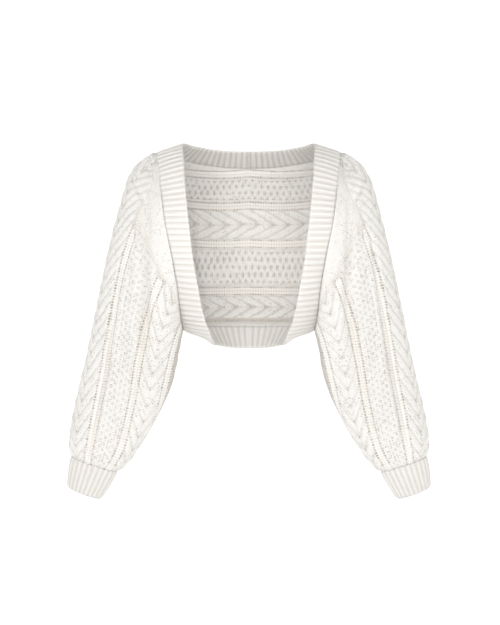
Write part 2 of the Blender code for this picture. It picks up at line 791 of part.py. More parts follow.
def main():
    for item in list(bpy.data.objects):
        bpy.data.objects.remove(item, do_unlink=True)
    collection = bpy.data.collections.new(COLLECTION)
    bpy.context.scene.collection.children.link(collection)
    cabled = wool("cabled_wool", (0.88, 0.85, 0.78))
    ribbed = wool("ribbed_wool", (0.86, 0.83, 0.76))
    back_wall().object("back", cabled)
    band_wall().object("band", ribbed, whole_by_mirror=True)
    sleeve, cuff = sleeve_wall(), cuff_wall()
    for side, mirrored in (("left", False), ("right", True)):
        sleeve.object(f"sleeve_{side}", cabled, mirrored)
        cuff.object(f"cuff_{side}", ribbed, mirrored)


main()
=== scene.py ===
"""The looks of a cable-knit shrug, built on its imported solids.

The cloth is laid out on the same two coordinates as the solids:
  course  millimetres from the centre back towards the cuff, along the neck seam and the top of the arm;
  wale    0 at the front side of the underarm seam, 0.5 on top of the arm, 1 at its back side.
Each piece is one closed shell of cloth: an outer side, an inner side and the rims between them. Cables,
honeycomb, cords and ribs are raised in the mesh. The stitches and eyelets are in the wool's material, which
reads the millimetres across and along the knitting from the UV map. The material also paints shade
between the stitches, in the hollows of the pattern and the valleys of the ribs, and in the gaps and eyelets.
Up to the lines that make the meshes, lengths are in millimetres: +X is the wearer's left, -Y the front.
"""

import math
from functools import lru_cache

import bpy
import numpy as np
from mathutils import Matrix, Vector


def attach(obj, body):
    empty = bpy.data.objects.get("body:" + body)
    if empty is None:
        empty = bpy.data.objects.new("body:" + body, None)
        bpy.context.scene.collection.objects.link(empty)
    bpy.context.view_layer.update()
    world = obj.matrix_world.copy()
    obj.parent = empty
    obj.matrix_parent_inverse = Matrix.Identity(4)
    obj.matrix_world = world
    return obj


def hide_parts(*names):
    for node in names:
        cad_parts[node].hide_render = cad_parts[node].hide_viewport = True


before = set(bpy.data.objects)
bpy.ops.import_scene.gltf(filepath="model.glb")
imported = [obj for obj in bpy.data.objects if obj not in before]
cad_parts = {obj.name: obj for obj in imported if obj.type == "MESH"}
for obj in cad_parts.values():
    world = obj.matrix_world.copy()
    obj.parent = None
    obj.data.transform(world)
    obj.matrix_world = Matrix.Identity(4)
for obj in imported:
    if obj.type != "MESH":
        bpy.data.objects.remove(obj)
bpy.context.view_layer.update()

MM = 0.001

# ---- the cloth
WALL = 2.5  # plain knitting
STITCH_WIDE = 5.2
STITCH_HIGH = 4.6
CABLE_REPEAT = 32.0  # one chevron of a cable, along the wales
CABLE_RELIEF = 3.8
CABLE_FLOOR, CABLE_STRAND = 0.06, 0.81  # shares of it: between two strands, and what a strand adds
CABLE_LEAN = 0.30  # how much higher a strand is where its repeat begins, and lower where it ends
CABLE_SLOPE = 1.8  # how far a strand runs along the panel for each millimetre across it
CABLE_SPINE = (0.45, 0.09)  # the dip where strands meet: depth, and width in half panels
CABLE_CROWN = (0.20, 1.15)  # how much lower its middle is, and where it is highest, plus 0.5
STRAND_SHAPE = (2.2, 0.65)
HONEYCOMB_REPEAT = 13.0
HONEYCOMB_RELIEF = 2.6
HONEYCOMB_FLOOR = 0.34  # share of it inside the cells
HONEYCOMB_SHAPE = 0.8
HONEYCOMB_SWAY = (0.28, 0.10, 31, 2.1)  # average, change, the change's length, and its step between ridges
HONEYCOMB_RIDGE = (0.46, 0.06, 19, 1.3)
CORD_RELIEF = 1.1
CORD_EDGE = 0.45  # share of it that is left at the strip's edges
PLAIN_RELIEF = 0.5
PANEL_EDGE = 0.35  # share of the relief that is left at a panel's edge
PANEL_EDGE_WIDTH = 0.14  # in half panels
STRIP_LINE = 7.2  # each line of eyelets, from the middle of its strip
STRIP_REACH = STRIP_LINE + 5.0
EYELET_PITCH = 5.4
FAR_OFF = 40.0  # the distance to a strip or join where there is none near
# how deep in a hollow a place is: the wool paints shade there by it, and opens gaps
HOLLOW_BELOW = 2.0  # cloth raised less than this is in a hollow, the more so the less it is raised
BACK_HOLLOW_BELOW = 2.9  # over the back, where the knitting is stretched and more open
# the painted shade where the pattern's relief has faded to nothing
PLAIN_HOLLOW = 0.25
STRIP_OPEN = 0.22  # how much less the strips are in shade
STRIP_SHADE = (STRIP_LINE + 1.0, STRIP_LINE - 2.0)
RIB_RELIEF = 2.2
RIB_CREST = 0.30  # of each rib's own width
RIB_HALF_WIDTH = 0.33
RIB_SHADE = 0.9  # how much less a rib's crest is in shade than the valley beside it
RIBS_PER_HALF = 68  # of the band, from centre back neck to centre back hem
CUFF_RIBS = 24
STITCHES_A_RIB = 2
RIB_SHIFT = 0.45  # puts the crest of each rib on the middle of a stitch
INNER_RIBS = 0.8  # share of the ribs' height on the inner side
BAND_PUFF, INNER_PUFF = 1.2, 0.3
BAND_SWELL = (0.92, 0.04, 0.6)  # how full the band is across its width
BAND_TURN_IN = 0.2  # share of the band's width over which its inner side leaves the seam
BAND_RISE = ((0.0, 0.12), (1.0, 0.93))  # shares of it over which the ribs rise from the seam and the edge
BAND_EDGE = 0.55 * WALL
BAND_WAVES = ((0.6, 37.0, 0.6), (0.4, 19.0, 2.1))  # height, length and start of each
CUFF_PUFF, CUFF_SWELL = 1.4, 0.7
CUFF_RELIEF = 0.95  # share of the band's
CUFF_RISE = ((0.0, 0.10), (1.0, 0.95))
CUFF_EDGE = 0.5 * WALL

# ---- how far from a seam the pattern, the folds and the unevenness of the cloth start, and are whole
PATTERN_START = (5.0, 26.0)
HEM_START = (0.0, 15.6)
CUFF_START = (0.0, 9.0)
LINE_START = (0.0, 8.0)  # the relief of the back's inner side, from the shoulder line
STRIP_PARTING = 14.0  # draws a strip's two lines of eyelets together where it starts
SKEW_START = (0.0, 40.0)
SETTLED_SEAM = (0.0, 22.0)
SETTLED_LINE = (0.0, 18.0)
SETTLED_CUFF = (0.0, 14.0)
UNEVEN = 0.12
UNEVEN_WAVES = (150, 110, 83, 61, 47, 37)
UNEVEN_DEPTH, UNEVEN_CROSS = 0.9, 0.6  # how much slower the waves go front to back, and how much they bend
UNEVEN_SEEDS = {"left": 7, "right": 19, "back": 3}

# ---- how finely each piece is made
SLEEVE_COLUMNS = 288  # all round
SLEEVE_ROW = 2.6
INNER_STEP = 6  # the inner side of a sleeve has one row for so many of the outer side's
BACK_ROW = 2.4
RIB_COLUMNS = 8  # for each rib of the band
BAND_ROWS = 17
CUFF_RIB_COLUMNS = 12
CUFF_ROWS = 26
COURSE_POINTS = 97
PANEL_SAMPLES = 160
SEAM_SAMPLES = 360
NECK_SAMPLES = 200
HEM_SAMPLES = 300
BESIDE = 0.01  # wales from a seam or a panel's middle to a place just beside it
SAME = 1e-6  # courses nearer than this are the same
COURSE_DIGITS = 6
SLANT_LEAST = 0.6  # keeps the seam's inner side near where band and panel meet at a sharp angle

# ---- the rounding of the sleeve's front
ROUNDING = 70  # passes
ROUNDED_COURSES = ((225, 262), (375, 325))
ROUNDED_TURNS = ((0.0, 0.03), (0.47, 0.38))

# ---- the courses: top and hem end of each, and how far it stands out to the front and the back
COURSE_COLUMNS = ("top_x", "top_y", "top_z", "hem_x", "hem_y", "hem_z", "front", "lean", "back", "roundness")
COURSE_ROWS = (
    # on the neck seam
    (0, 100, -32, 0, 112, -354, 0, 0, 16, 0.30),
    (67, 93, -29, 50, 104, -354, 0, 0, 20, 0.35),
    (134, 62, -20, 88, 80, -354, 0, 0, 32, 0.50),
    # the shoulder, and from here along the top of the arm
    (176, 8, -11, 108, 44, -355, 0, 0.3, 50, 0.80),
    (210, 5, -29, 119, 18, -357, 22, 0.3, 56, 1.00),
    # the underarm, where the sleeve closes
    (234, 2, -64, 127, -6, -359, 70, 0.2, 58, 1.00),
    (254, -5, -135, 134, -20, -386, 72, 0.1, 56, 1.00),
    (275, -10, -222, 140, -20, -425, 58, 0, 52, 1.00),
    (293, -14, -312, 150, -20, -466, 48, 0, 47, 1.00),
    (311, -17, -404, 166, -20, -504, 46, 0, 46, 1.00),
    (329, -19, -481, 188, -20, -547, 48, 0, 47, 1.00),
    (343, -20, -546, 215, -20, -588, 48, 0, 46, 1.00),
    (346, -20, -580, 237, -20, -616, 42, 0, 41, 1.00),
    # the cuff seam
    (343, -20, -602, 255, -20, -632, 34, 0, 34, 1.00),
)
SHOULDER_ROW = 3
UNDERARM_ROW = 5
NECK_WALE = 0.535

# ---- the opening: band seam and free edge, from the centre back neck round to the centre back hem
OPENING_COLUMNS = ("seam_x", "seam_y", "seam_z", "edge_x", "edge_y", "edge_z")
NECK_ROWS = (
    (0, 100, -32, 0, 66, -3),
    (67, 93, -29, 58, 57, -2),
    (134, 62, -20, 104, 30, 2),
    (176, 8, -11, 127, -5, 2),
)
FRONT_ROWS = (
    (173, -42, -50, 125.5, -48, -36),
    (165, -68, -104, 120.5, -80, -99),
    (158, -78, -155, 114.5, -95, -156),
    (145, -77, -218, 107, -98, -219),
    (136, -66, -276, 97, -90, -280),
    (132, -42, -330, 86.5, -64, -335),
    (127, -6, -359, 73.5, -18, -373),
)
HEM_ROWS = (
    (119, 18, -357, 69, 18, -385),
    (108, 44, -355, 69, 46, -389),
    (88, 80, -354, 63, 72, -391),
    (50, 104, -354, 38, 98, -395),
    (0, 112, -354, 0, 108, -396),
)

# ---- the panels across the knitting: kind, start and end in wales, and a honeycomb's columns of cells
# wheat is a cable of chevrons, comb a honeycomb, and cord a strip between two lines of eyelets
PANEL_ROWS = (
    ("plain", 0.000, 0.040),
    ("cord", 0.040, 0.070),
    ("wheat", 0.070, 0.190),
    ("cord", 0.190, 0.220),
    ("comb", 0.220, 0.350, 6),
    ("cord", 0.350, 0.380),
    ("wheat", 0.380, 0.540),
    ("cord", 0.540, 0.560),
    ("comb", 0.560, 0.633, 4),
    ("cord", 0.633, 0.655),
    ("wheat", 0.655, 0.742),
    ("cord", 0.742, 0.768),
    ("comb", 0.768, 0.880, 5),
    ("cord", 0.880, 0.908),
    ("wheat", 0.908, 0.975),
    ("plain", 0.975, 1.000),
)

# ---- how the strips wind round the arm towards the cuff: course, and wales
TWIST_ROWS = ((292, 0.0), (560, 0.0), (700, 0.03), (820, 0.07), (845, 0.075))

# ---- the plain lobe beside the front seam: its width along the seam, from the shoulder to the underarm
LOBE_ROWS = ((0.0, 14), (0.18, 14), (0.33, 42), (0.5, 40), (0.62, 28), (0.76, 12), (1.0, 8))
LOBE_FADE = (0.9, 1.5)  # in widths of the lobe: where the relief starts and is whole, then the strips
LOBE_STRIP = (1.0, 1.7)
LOBE_END = (0.44, 0.5)  # in wales: there is no lobe behind the top of the arm
LOBE_SAMPLES = 400
WELL_AWAY = 8.0  # in widths of the lobe

# ---- folds: the troughs, each with its half width in wales and its places: course, turn and depth
FOLD_BANK, FOLD_BANK_AT = 0.22, 2.3  # beside each trough: share of its depth, and place in half widths
FOLDS = {
    "left": (
        (0.026, ((262, 0.41, 0), (280, 0.368, 4), (320, 0.29, 11), (379, 0.226, 14), (550, 0.188, 11),
                 (657, 0.182, 9), (776, 0.148, 5), (830, 0.14, 0))),
        (0.012, ((372, 0.388, 0), (395, 0.380, 5), (570, 0.350, 7), (633, 0.340, 8), (721, 0.318, 7),
                 (784, 0.292, 5), (842, 0.28, 0))),
        (0.030, ((300, 0.74, 0), (370, 0.73, 8), (520, 0.72, 10), (680, 0.74, 5), (800, 0.76, 0))),
        (0.022, ((330, 0.62, 0), (400, 0.63, 5), (560, 0.60, 6), (700, 0.61, 0))),
        (0.028, ((300, 0.93, 0), (340, 0.90, 8), (430, 0.87, 9), (560, 0.86, 5), (650, 0.86, 0))),
    ),
    "right": (
        (0.026, ((258, 0.43, 0), (272, 0.392, 3), (320, 0.308, 11), (419, 0.236, 14), (550, 0.180, 11),
                 (665, 0.160, 8), (760, 0.15, 4), (825, 0.14, 0))),
        (0.012, ((420, 0.378, 0), (480, 0.372, 4), (562, 0.362, 7), (650, 0.337, 7), (721, 0.316, 7),
                 (820, 0.290, 4), (842, 0.28, 0))),
        (0.028, ((310, 0.76, 0), (400, 0.75, 9), (540, 0.73, 9), (660, 0.74, 5), (780, 0.75, 0))),
        (0.020, ((360, 0.60, 0), (450, 0.62, 5), (600, 0.61, 6), (720, 0.62, 0))),
        (0.030, ((300, 0.92, 0), (350, 0.90, 8), (450, 0.88, 8), (580, 0.86, 5), (690, 0.86, 0))),
    ),
}

# ---- the gathers where a sleeve is drawn into its cuff
GATHER_DEPTH = 2.4
GATHER_REACH = 46.0
GATHER_START = (0.0, 5.0)
GATHER_ROWS = (  # turn, width and share of the depth
    (0.04, 0.016, 0.7), (0.11, 0.014, 1.0), (0.17, 0.018, 0.8), (0.24, 0.014, 0.6), (0.33, 0.016, 1.0),
    (0.41, 0.018, 0.7), (0.49, 0.015, 0.9), (0.56, 0.018, 0.7), (0.63, 0.014, 1.0), (0.71, 0.018, 0.8),
    (0.78, 0.015, 0.9), (0.86, 0.018, 0.7), (0.94, 0.016, 1.0),
)

# ---- the cuff's free edge: its outer and inner ends, and half its depth front to back
CUFF_OUTER = (350, -20, -660)
CUFF_INNER = (287, -20, -684)
CUFF_DEPTH = 30

BACKWARD = np.array([0.0, 1.0, 0.0])
MIRROR = np.array([-1.0, 1.0, 1.0])
UPRIGHT = np.array([0.0, 1.0, 1.0])  # turns a direction into the middle plane


def units(vectors):
    return vectors / np.maximum(np.linalg.norm(vectors, axis=-1, keepdims=True), 1e-12)


def mix(a, b, share):
    return a + (b - a) * share


def smooth(low, high, value):
    """0 below low, 1 above high and an even rise between."""
    t = np.clip((value - low) / (high - low), 0.0, 1.0)
    return t * t * (3 - 2 * t)


def lengths(points):
    steps = np.linalg.norm(np.diff(points, axis=0), axis=1)
    return np.concatenate([[0.0], np.cumsum(steps)])


def between_points(x, stations, points):
    """Places on a line of points, each of which has its own station."""
    return np.stack([np.interp(x, stations, points[:, k]) for k in range(3)], axis=-1)


def table(names, rows):
    """The columns of a table by their names."""
    return dict(zip(names, np.array(rows, float).T))


def places(columns, end):
    return np.stack([columns[f"{end}_{axis}"] for axis in "xyz"], axis=1)


class Line:
    """A smooth curve through rows of values, each at its own station. before and after are a station and
    its row beyond the ends, which only steer the curve there."""

    def __init__(self, stations, rows, before=(), after=()):
        s = np.array([*before[:1], *stations, *after[:1]], float)
        r = np.array([*before[1:], *rows, *after[1:]], float)
        ahead = np.minimum(np.arange(len(s)) + 1, len(s) - 1)
        behind = np.maximum(np.arange(len(s)) - 1, 0)
        span = (s[ahead] - s[behind]).reshape(-1, *[1] * (r.ndim - 1))
        slopes = (r[ahead] - r[behind]) / span
        kept = slice(1, -1) if before else slice(None)
        self.stations, self.rows, self.slopes = s[kept], r[kept], slopes[kept]

    def __call__(self, station):
        s = np.clip(np.asarray(station, float), self.stations[0], self.stations[-1])
        i = np.clip(np.searchsorted(self.stations, s, "right") - 1, 0, len(self.stations) - 2)
        step = self.stations[i + 1] - self.stations[i]
        t = (s - self.stations[i]) / step
        if self.rows.ndim > 1:
            t, step = t[..., None], step[..., None]
        return (
            self.rows[i] * (1 + 2 * t) * (1 - t) ** 2
            + self.slopes[i] * step * t * (1 - t) ** 2
            + self.rows[i + 1] * t * t * (3 - 2 * t)
            + self.slopes[i + 1] * step * t * t * (t - 1)
        )


# ---- the seam and the free edge of the opening
OPENING = table(OPENING_COLUMNS, NECK_ROWS + FRONT_ROWS + HEM_ROWS)
SEAM_KEYS, EDGE_KEYS = places(OPENING, "seam"), places(OPENING, "edge")
SEAM_STATIONS = lengths((SEAM_KEYS + EDGE_KEYS) / 2)
HALF_LOOP = SEAM_STATIONS[-1]
SHOULDER_STATION = SEAM_STATIONS[len(NECK_ROWS) - 1]
UNDERARM_STATION = SEAM_STATIONS[len(NECK_ROWS) + len(FRONT_ROWS) - 1]


def half_loop_line(keys):
    """A curve through the keys that goes on smoothly into its own mirror image at both ends."""
    before = (-SEAM_STATIONS[1], keys[1] * MIRROR)
    after = (2 * HALF_LOOP - SEAM_STATIONS[-2], keys[-2] * MIRROR)
    return Line(SEAM_STATIONS, keys, before, after)


SEAM = half_loop_line(SEAM_KEYS)
EDGE = half_loop_line(EDGE_KEYS)

# ---- the courses
COURSES = table(COURSE_COLUMNS, COURSE_ROWS)
TOPS = places(COURSES, "top")
COURSE_AT = lengths(TOPS)
SHOULDER = COURSE_AT[SHOULDER_ROW]
UNDERARM = COURSE_AT[UNDERARM_ROW]
CUFF_SEAM = COURSE_AT[-1]
CREST = Line(COURSE_AT[SHOULDER_ROW:], TOPS[SHOULDER_ROW:])
UNDERSIDE = Line(COURSE_AT[UNDERARM_ROW:], places(COURSES, "hem")[UNDERARM_ROW:])
SHAPE_COLUMNS = ("front", "lean", "back", "roundness")
SHAPE = Line(COURSE_AT, np.stack([COURSES[name] for name in SHAPE_COLUMNS], axis=1))
NECK_STATION = Line(COURSE_AT[: SHOULDER_ROW + 1], SEAM_STATIONS[: SHOULDER_ROW + 1])
HEM_STATION = Line(COURSE_AT[: UNDERARM_ROW + 1], SEAM_STATIONS[::-1][: UNDERARM_ROW + 1])
TWISTING = Line(*zip(*TWIST_ROWS))
LOBE = Line(*zip(*LOBE_ROWS))


def top_station(course):
    """Where on the opening's seam a course starts: on the neck, or on the front."""
    if course <= SHOULDER:
        return float(NECK_STATION(course))
    return mix(SHOULDER_STATION, UNDERARM_STATION, min((course - SHOULDER) / (UNDERARM - SHOULDER), 1.0))


def top_wale(course):
    """The wale on which a course starts."""
    if course <= SHOULDER:
        return mix(NECK_WALE, 0.5, course / SHOULDER)
    return 0.5 * max(0.0, (UNDERARM - course) / (UNDERARM - SHOULDER))


def front_course(wale):
    """The course that starts on the front seam at a wale."""
    return mix(UNDERARM, SHOULDER, 2 * wale)


def bow(start, end, stand, roundness):
    """A line from start to end that stands out sideways by the vector stand at its middle."""
    t = np.linspace(0, 1, COURSE_POINTS)[:, None]
    along = mix(t, t * t * (3 - 2 * t), roundness)
    return start + (end - start) * along + stand * 4 * t * (1 - t)


def course_line(course):
    """The plain outer surface along one course: its points, the turn of each, and a whole turn's length."""
    return make_course_line(round(float(course), COURSE_DIGITS))


@lru_cache(maxsize=None)
def make_course_line(course):
    front, lean, back, roundness = SHAPE(course)
    hem = SEAM(float(HEM_STATION(course))) if course < UNDERARM else UNDERSIDE(course)
    if course <= SHOULDER:
        points = bow(SEAM(top_station(course)), hem, back * BACKWARD, roundness)
        far = lengths(points)
        turns = mix(top_wale(course), 1.0, far / far[-1])
    else:
        crest = CREST(course)
        start = SEAM(top_station(course)) if course < UNDERARM else hem
        before = bow(start, crest, front * units(np.array([-lean, -1.0, 0.0])), 1.0)
        behind = bow(crest, hem, back * BACKWARD, roundness)
        far_before, far_behind = lengths(before), lengths(behind)
        points = np.concatenate([before, behind[1:]])
        far = lengths(points)
        turns = np.concatenate([
            mix(top_wale(course), 0.5, far_before / far_before[-1]),
            mix(0.5, 1.0, far_behind / far_behind[-1])[1:],
        ])
    return points, turns, far[-1] / (1.0 - turns[0])


def ring_points(course, turns):
    """Places on the plain outer surface of one course."""
    points, stations, _ = course_line(course)
    return between_points(turns, stations, points)


def ring_normals(course, turns):
    """The outward directions there."""
    reach, spread = 4.0, 0.006
    low, high = max(course - reach, 0.0), min(course + reach, CUFF_SEAM)
    if course >= UNDERARM:
        across = ring_points(course, (turns + spread) % 1.0) - ring_points(course, (turns - spread) % 1.0)
        middle = turns
    else:
        inner = top_wale(course)
        after, before = np.minimum(turns + spread, 1.0), np.maximum(turns - spread, inner)
        across = ring_points(course, after) - ring_points(course, before)
        middle = np.clip(turns, max(top_wale(low), inner) + SAME, 1.0)
    return units(np.cross(ring_points(high, middle) - ring_points(low, middle), across))


# ---- the pattern
class Panel:
    """One band of the pattern. Its repeats are counted along its middle wale, and carry on over the back."""

    def __init__(self, kind, start, end, cells=0):
        self.kind, self.start, self.end, self.cells = kind, start, end, cells
        middle = (start + end) / 2
        over_back = middle > 0.5
        courses = np.linspace(0 if over_back else front_course(middle), CUFF_SEAM, PANEL_SAMPLES)
        points = np.array([self.middle_point(c, middle) for c in courses])
        beside = np.array([self.middle_point(c, middle + BESIDE) for c in courses])
        reached = lengths(points)
        skew = np.sum(units(np.gradient(points, axis=0)) * units(beside - points), axis=1)
        if over_back:
            skew = skew * smooth(*SKEW_START, courses)
            courses, reached, skew = (np.concatenate([-row[:0:-1], row]) for row in (courses, reached, skew))
        self.courses, self.reached, self.skews = courses, reached, skew

    @staticmethod
    def middle_point(course, wale):
        turn = wale if course <= UNDERARM else (wale - float(TWISTING(course))) % 1.0
        return ring_points(course, turn)

    def far(self, course):
        """Millimetres along the panel at a course."""
        return min(course - self.courses[0], 0.0) + float(np.interp(course, self.courses, self.reached))

    def skew(self, course):
        """The cosine of the angle between panel and course. The stitches stand square to the panel."""
        return float(np.interp(course, self.courses, self.skews))


PANELS = [Panel(*row) for row in PANEL_ROWS]


def strand(phase):
    """A round strand in each repeat, with a sharp valley between two."""
    flatness, roundness = STRAND_SHAPE
    return np.clip(1 - np.abs(2 * (phase % 1.0) - 1) ** flatness, 0.0, 1.0) ** roundness


def wheat(far, side, width):
    """Fat strands that rise at the panel's sides and dive at its middle: their relief and stitches."""
    from_side = (1 - side) * width * 0.5
    phase = (far - from_side * CABLE_SLOPE) / CABLE_REPEAT
    lean = 1 - CABLE_LEAN * (2 * (phase % 1.0) - 1)
    dip, dip_width = CABLE_SPINE
    spine = 1 - dip * np.exp(-((side / dip_width) ** 2))
    drop, reach = CABLE_CROWN
    crown = 1 - drop + drop * np.sin(np.pi * np.clip(reach - side, 0, 1))
    relief = CABLE_RELIEF * spine * crown * (CABLE_FLOOR + CABLE_STRAND * strand(phase) * lean)
    longer = math.hypot(1.0, CABLE_SLOPE)
    return relief, (far - from_side * CABLE_SLOPE) / longer, (far * CABLE_SLOPE + from_side) / longer


def varied(size, far, ridge):
    """A size of the honeycomb, at a place along its panel and for one of its ridges."""
    average, change, wave, apart = size
    return average + change * math.sin(far / wave + apart * ridge)


def comb(far, share, cells, middle_far):
    """Ridges that sway to and fro, and meet their neighbours to close the cells: their relief."""
    turn = 2 * np.pi * far / HONEYCOMB_REPEAT
    relief = np.zeros_like(share)
    for ridge in range(cells + 1):
        sway = varied(HONEYCOMB_SWAY, middle_far, ridge) * (0 < ridge < cells)
        middle = ridge + sway * np.cos(turn + np.pi * ridge)
        near = (share * cells - middle) / varied(HONEYCOMB_RIDGE, middle_far, ridge)
        relief = np.maximum(relief, np.clip(1 - near * near, 0, 1) ** HONEYCOMB_SHAPE)
    return HONEYCOMB_RELIEF * mix(HONEYCOMB_FLOOR, 1.0, relief)


def pattern(course, wales, girth, grown):
    """Along one course: the relief, the millimetres across and along the stitches, the distance from the
    middle of the nearest strip and the millimetres along that strip."""
    height, across, along, strip_far = (np.zeros_like(wales) for _ in range(4))
    strip = np.full_like(wales, FAR_OFF)
    for panel in PANELS:
        skew, middle_far = panel.skew(course), panel.far(course)
        spread = (panel.end - panel.start) * girth
        width = spread * math.sqrt(1 - skew * skew)
        share = (wales - panel.start) / (panel.end - panel.start)
        if panel.kind == "cord":
            # the two lines of eyelets part where the strip starts
            away = np.abs(share - 0.5) * width + STRIP_PARTING * (1 - grown)
            near = away < STRIP_REACH
            strip[near] = away[near]
            strip_far[near] = (middle_far + (share - 0.5) * spread * skew)[near]
        inside = (wales >= panel.start) & (wales <= panel.end)
        if not inside.any():
            continue
        share = share[inside]
        far = middle_far + (share - 0.5) * spread * skew
        side = np.abs(2 * share - 1)
        edge = mix(PANEL_EDGE, 1.0, smooth(0.0, PANEL_EDGE_WIDTH, 1 - side))
        u, v = (share - 0.5) * width, far
        if panel.kind == "wheat":
            relief, u, v = wheat(far, side, width)
            relief = relief * edge
        elif panel.kind == "comb":
            relief = comb(far, share, panel.cells, middle_far) * edge
        elif panel.kind == "cord":
            # one herringbone column between the two lines of eyelets
            relief = CORD_RELIEF * mix(CORD_EDGE, 1.0, 1 - side * side)
            u = (share - 0.5) * mix(width, STITCH_WIDE, grown[inside])
            v = far * mix(1.0, STITCH_HIGH / EYELET_PITCH, grown[inside])
        else:
            relief = PLAIN_RELIEF
        height[inside], across[inside], along[inside] = relief, u, v
    return height, across, along, strip, strip_far


def beside_seam(points, wales):
    """For places on a sleeve: the distance to the front seam, the station there, the distance in widths of
    the plain lobe that lies beside the seam, and the lobe's width."""
    samples = np.linspace(SHOULDER_STATION, UNDERARM_STATION, LOBE_SAMPLES)
    seam = SEAM(samples)
    nearest = np.argmin(np.linalg.norm(points[:, None] - seam[None], axis=2), axis=1)
    gap = points - seam[nearest]
    along = np.sum(gap * units(np.gradient(seam, axis=0))[nearest], axis=1)
    away = np.sqrt(np.maximum(np.sum(gap * gap, axis=1) - along * along, 0.0))
    width = LOBE((samples[nearest] - SHOULDER_STATION) / (UNDERARM_STATION - SHOULDER_STATION))
    lobe = np.linalg.norm(gap, axis=1) / width + WELL_AWAY * smooth(*LOBE_END, wales)
    return away, samples[nearest] + along, lobe, width


def hollows(height, share, strip, deepest):
    """How deep in a hollow of the pattern a place is, from 0 to 1. The strips are less in shade."""
    # the wool paints shade by this value
    hollow = share * (1 - np.clip(height / deepest, 0, 1)) + PLAIN_HOLLOW * (1 - share)
    return hollow * (1 - STRIP_OPEN * smooth(*STRIP_SHADE, strip))


def edge_distance(wales, girth):
    """How far places along a course are from the nearest edge of a panel."""
    edges = np.array([panel.start for panel in PANELS])[:, None]
    return np.min(np.abs(wales[None] - edges), axis=0) * girth


def fade(course, wales, strip, grown, lobe):
    """The share of the pattern's relief at a place. It grows from nothing beside the band, the cuff and the
    lobe, and in the strips as grown says."""
    near = smooth(*CUFF_START, CUFF_SEAM - abs(course)) * smooth(*LOBE_FADE, lobe)
    if abs(course) < UNDERARM:
        girth = course_line(abs(course))[2]
        near = near * smooth(*PATTERN_START, (wales - top_wale(abs(course))) * girth)
        near = near * smooth(*HEM_START, (1.0 - wales) * girth)
    return near * mix(1.0, grown, smooth(STRIP_REACH, STRIP_LINE, strip))


def knitted(course, wales, girth, grown, lobe, deepest):
    """Along one course: the relief, and the values that the wool reads."""
    height, across, along, strip, strip_far = pattern(course, wales, girth, grown)
    share = fade(course, wales, strip, grown, lobe)
    height = height * share
    hollow = hollows(height, share, strip, deepest)
    join = edge_distance(wales, girth)
    return height, dict(zip(Shell.VALUES, (across, along, strip, strip_far, hollow, join)))


def fold_line(rows):
    return Line([row[0] for row in rows], [row[1:] for row in rows])


FOLD_LINES = {side: [(width, fold_line(rows)) for width, rows in folds] for side, folds in FOLDS.items()}


def turn_gap(turns, middle):
    """How far round the sleeve a place is from another, the short way."""
    return (turns - middle + 0.5) % 1.0 - 0.5


def fold_depth(course, turns, side):
    """How far the folds push the cloth in. Beside each trough the cloth stands a little proud."""
    depth = np.zeros_like(turns)
    for width, line in FOLD_LINES[side]:
        if line.stations[0] < course < line.stations[-1]:
            middle, deep = line(course)
            near = turn_gap(turns, middle) / width
            bank = FOLD_BANK * np.exp(-((np.abs(near) - FOLD_BANK_AT) ** 2))
            depth += deep * (np.exp(-near ** 2) - bank)
    close = smooth(GATHER_REACH, 0.0, CUFF_SEAM - course) * smooth(*GATHER_START, CUFF_SEAM - course)
    for turn, width, share in GATHER_ROWS:
        depth += GATHER_DEPTH * share * close * np.exp(-((turn_gap(turns, turn) / width) ** 2))
    return depth


def unevenness(points, seed):
    """Soft hand-made unevenness of the cloth, up to about a millimetre."""
    phases = np.random.default_rng(seed).uniform(0, 2 * np.pi, (len(UNEVEN_WAVES), 4))
    height = np.zeros(points.shape[:-1])
    for phase, wave in zip(phases, UNEVEN_WAVES):
        k = 2 * np.pi / wave
        height += UNEVEN * (
            np.sin(k * points[..., 0] + phase[0])
            + np.sin(k * points[..., 1] * UNEVEN_DEPTH + phase[1])
            + np.sin(k * points[..., 2] + phase[2] + np.sin(k * UNEVEN_CROSS * points[..., 0] + phase[3]))
        )
    return height


def seam_settled(course, turns, girth):
    """The share of the folds and the unevenness along a course that ends at the band: none at its seams."""
    from_top, from_hem = (turns - top_wale(course)) * girth, (1.0 - turns) * girth
    return smooth(*SETTLED_SEAM, from_top) * smooth(*SETTLED_SEAM, from_hem)


# ---- the seams
def band_normals(stations):
    step = 3.0
    ahead, behind = np.minimum(stations + step, HALF_LOOP), np.maximum(stations - step, 0.0)
    along = (SEAM(ahead) + EDGE(ahead)) - (SEAM(behind) + EDGE(behind))
    return units(np.cross(EDGE(stations) - SEAM(stations), along))


def beside_station(station):
    """The course that meets the opening at a station, and a wale just beside the seam there."""
    if station >= UNDERARM_STATION:
        courses = np.linspace(UNDERARM - 0.5, 0, HEM_SAMPLES)
        return np.interp(station, HEM_STATION(courses), courses), 1.0 - BESIDE
    if station > SHOULDER_STATION:
        share = (station - SHOULDER_STATION) / (UNDERARM_STATION - SHOULDER_STATION)
        course = mix(SHOULDER, UNDERARM, share)
    else:
        courses = np.linspace(0, SHOULDER, NECK_SAMPLES)
        course = np.interp(station, NECK_STATION(courses), courses)
    return course, top_wale(course) + BESIDE


def seam_way(station):
    """The way from the seam's outer to its inner side, halfway between the band and the panel."""
    course, wale = beside_station(station)
    panel_side = ring_normals(course, np.array([wale]))[0]
    band_side = band_normals(np.array([station]))[0]
    middle = units(panel_side + band_side)
    return -middle * WALL / max(float(middle @ band_side), SLANT_LEAST)


WAY_STATIONS = np.linspace(0, HALF_LOOP, SEAM_SAMPLES)
WAYS = np.array([seam_way(station) for station in WAY_STATIONS])


def seam_inward(stations):
    return between_points(stations, WAY_STATIONS, WAYS)


# ---- shells
def linked(name, data):
    item = bpy.data.objects.new(name, data)
    bpy.context.scene.collection.objects.link(item)
    return item


def fetched(items, name, count, kind=np.int32):
    values = np.zeros(count, kind)
    items.foreach_get(name, values)
    return values


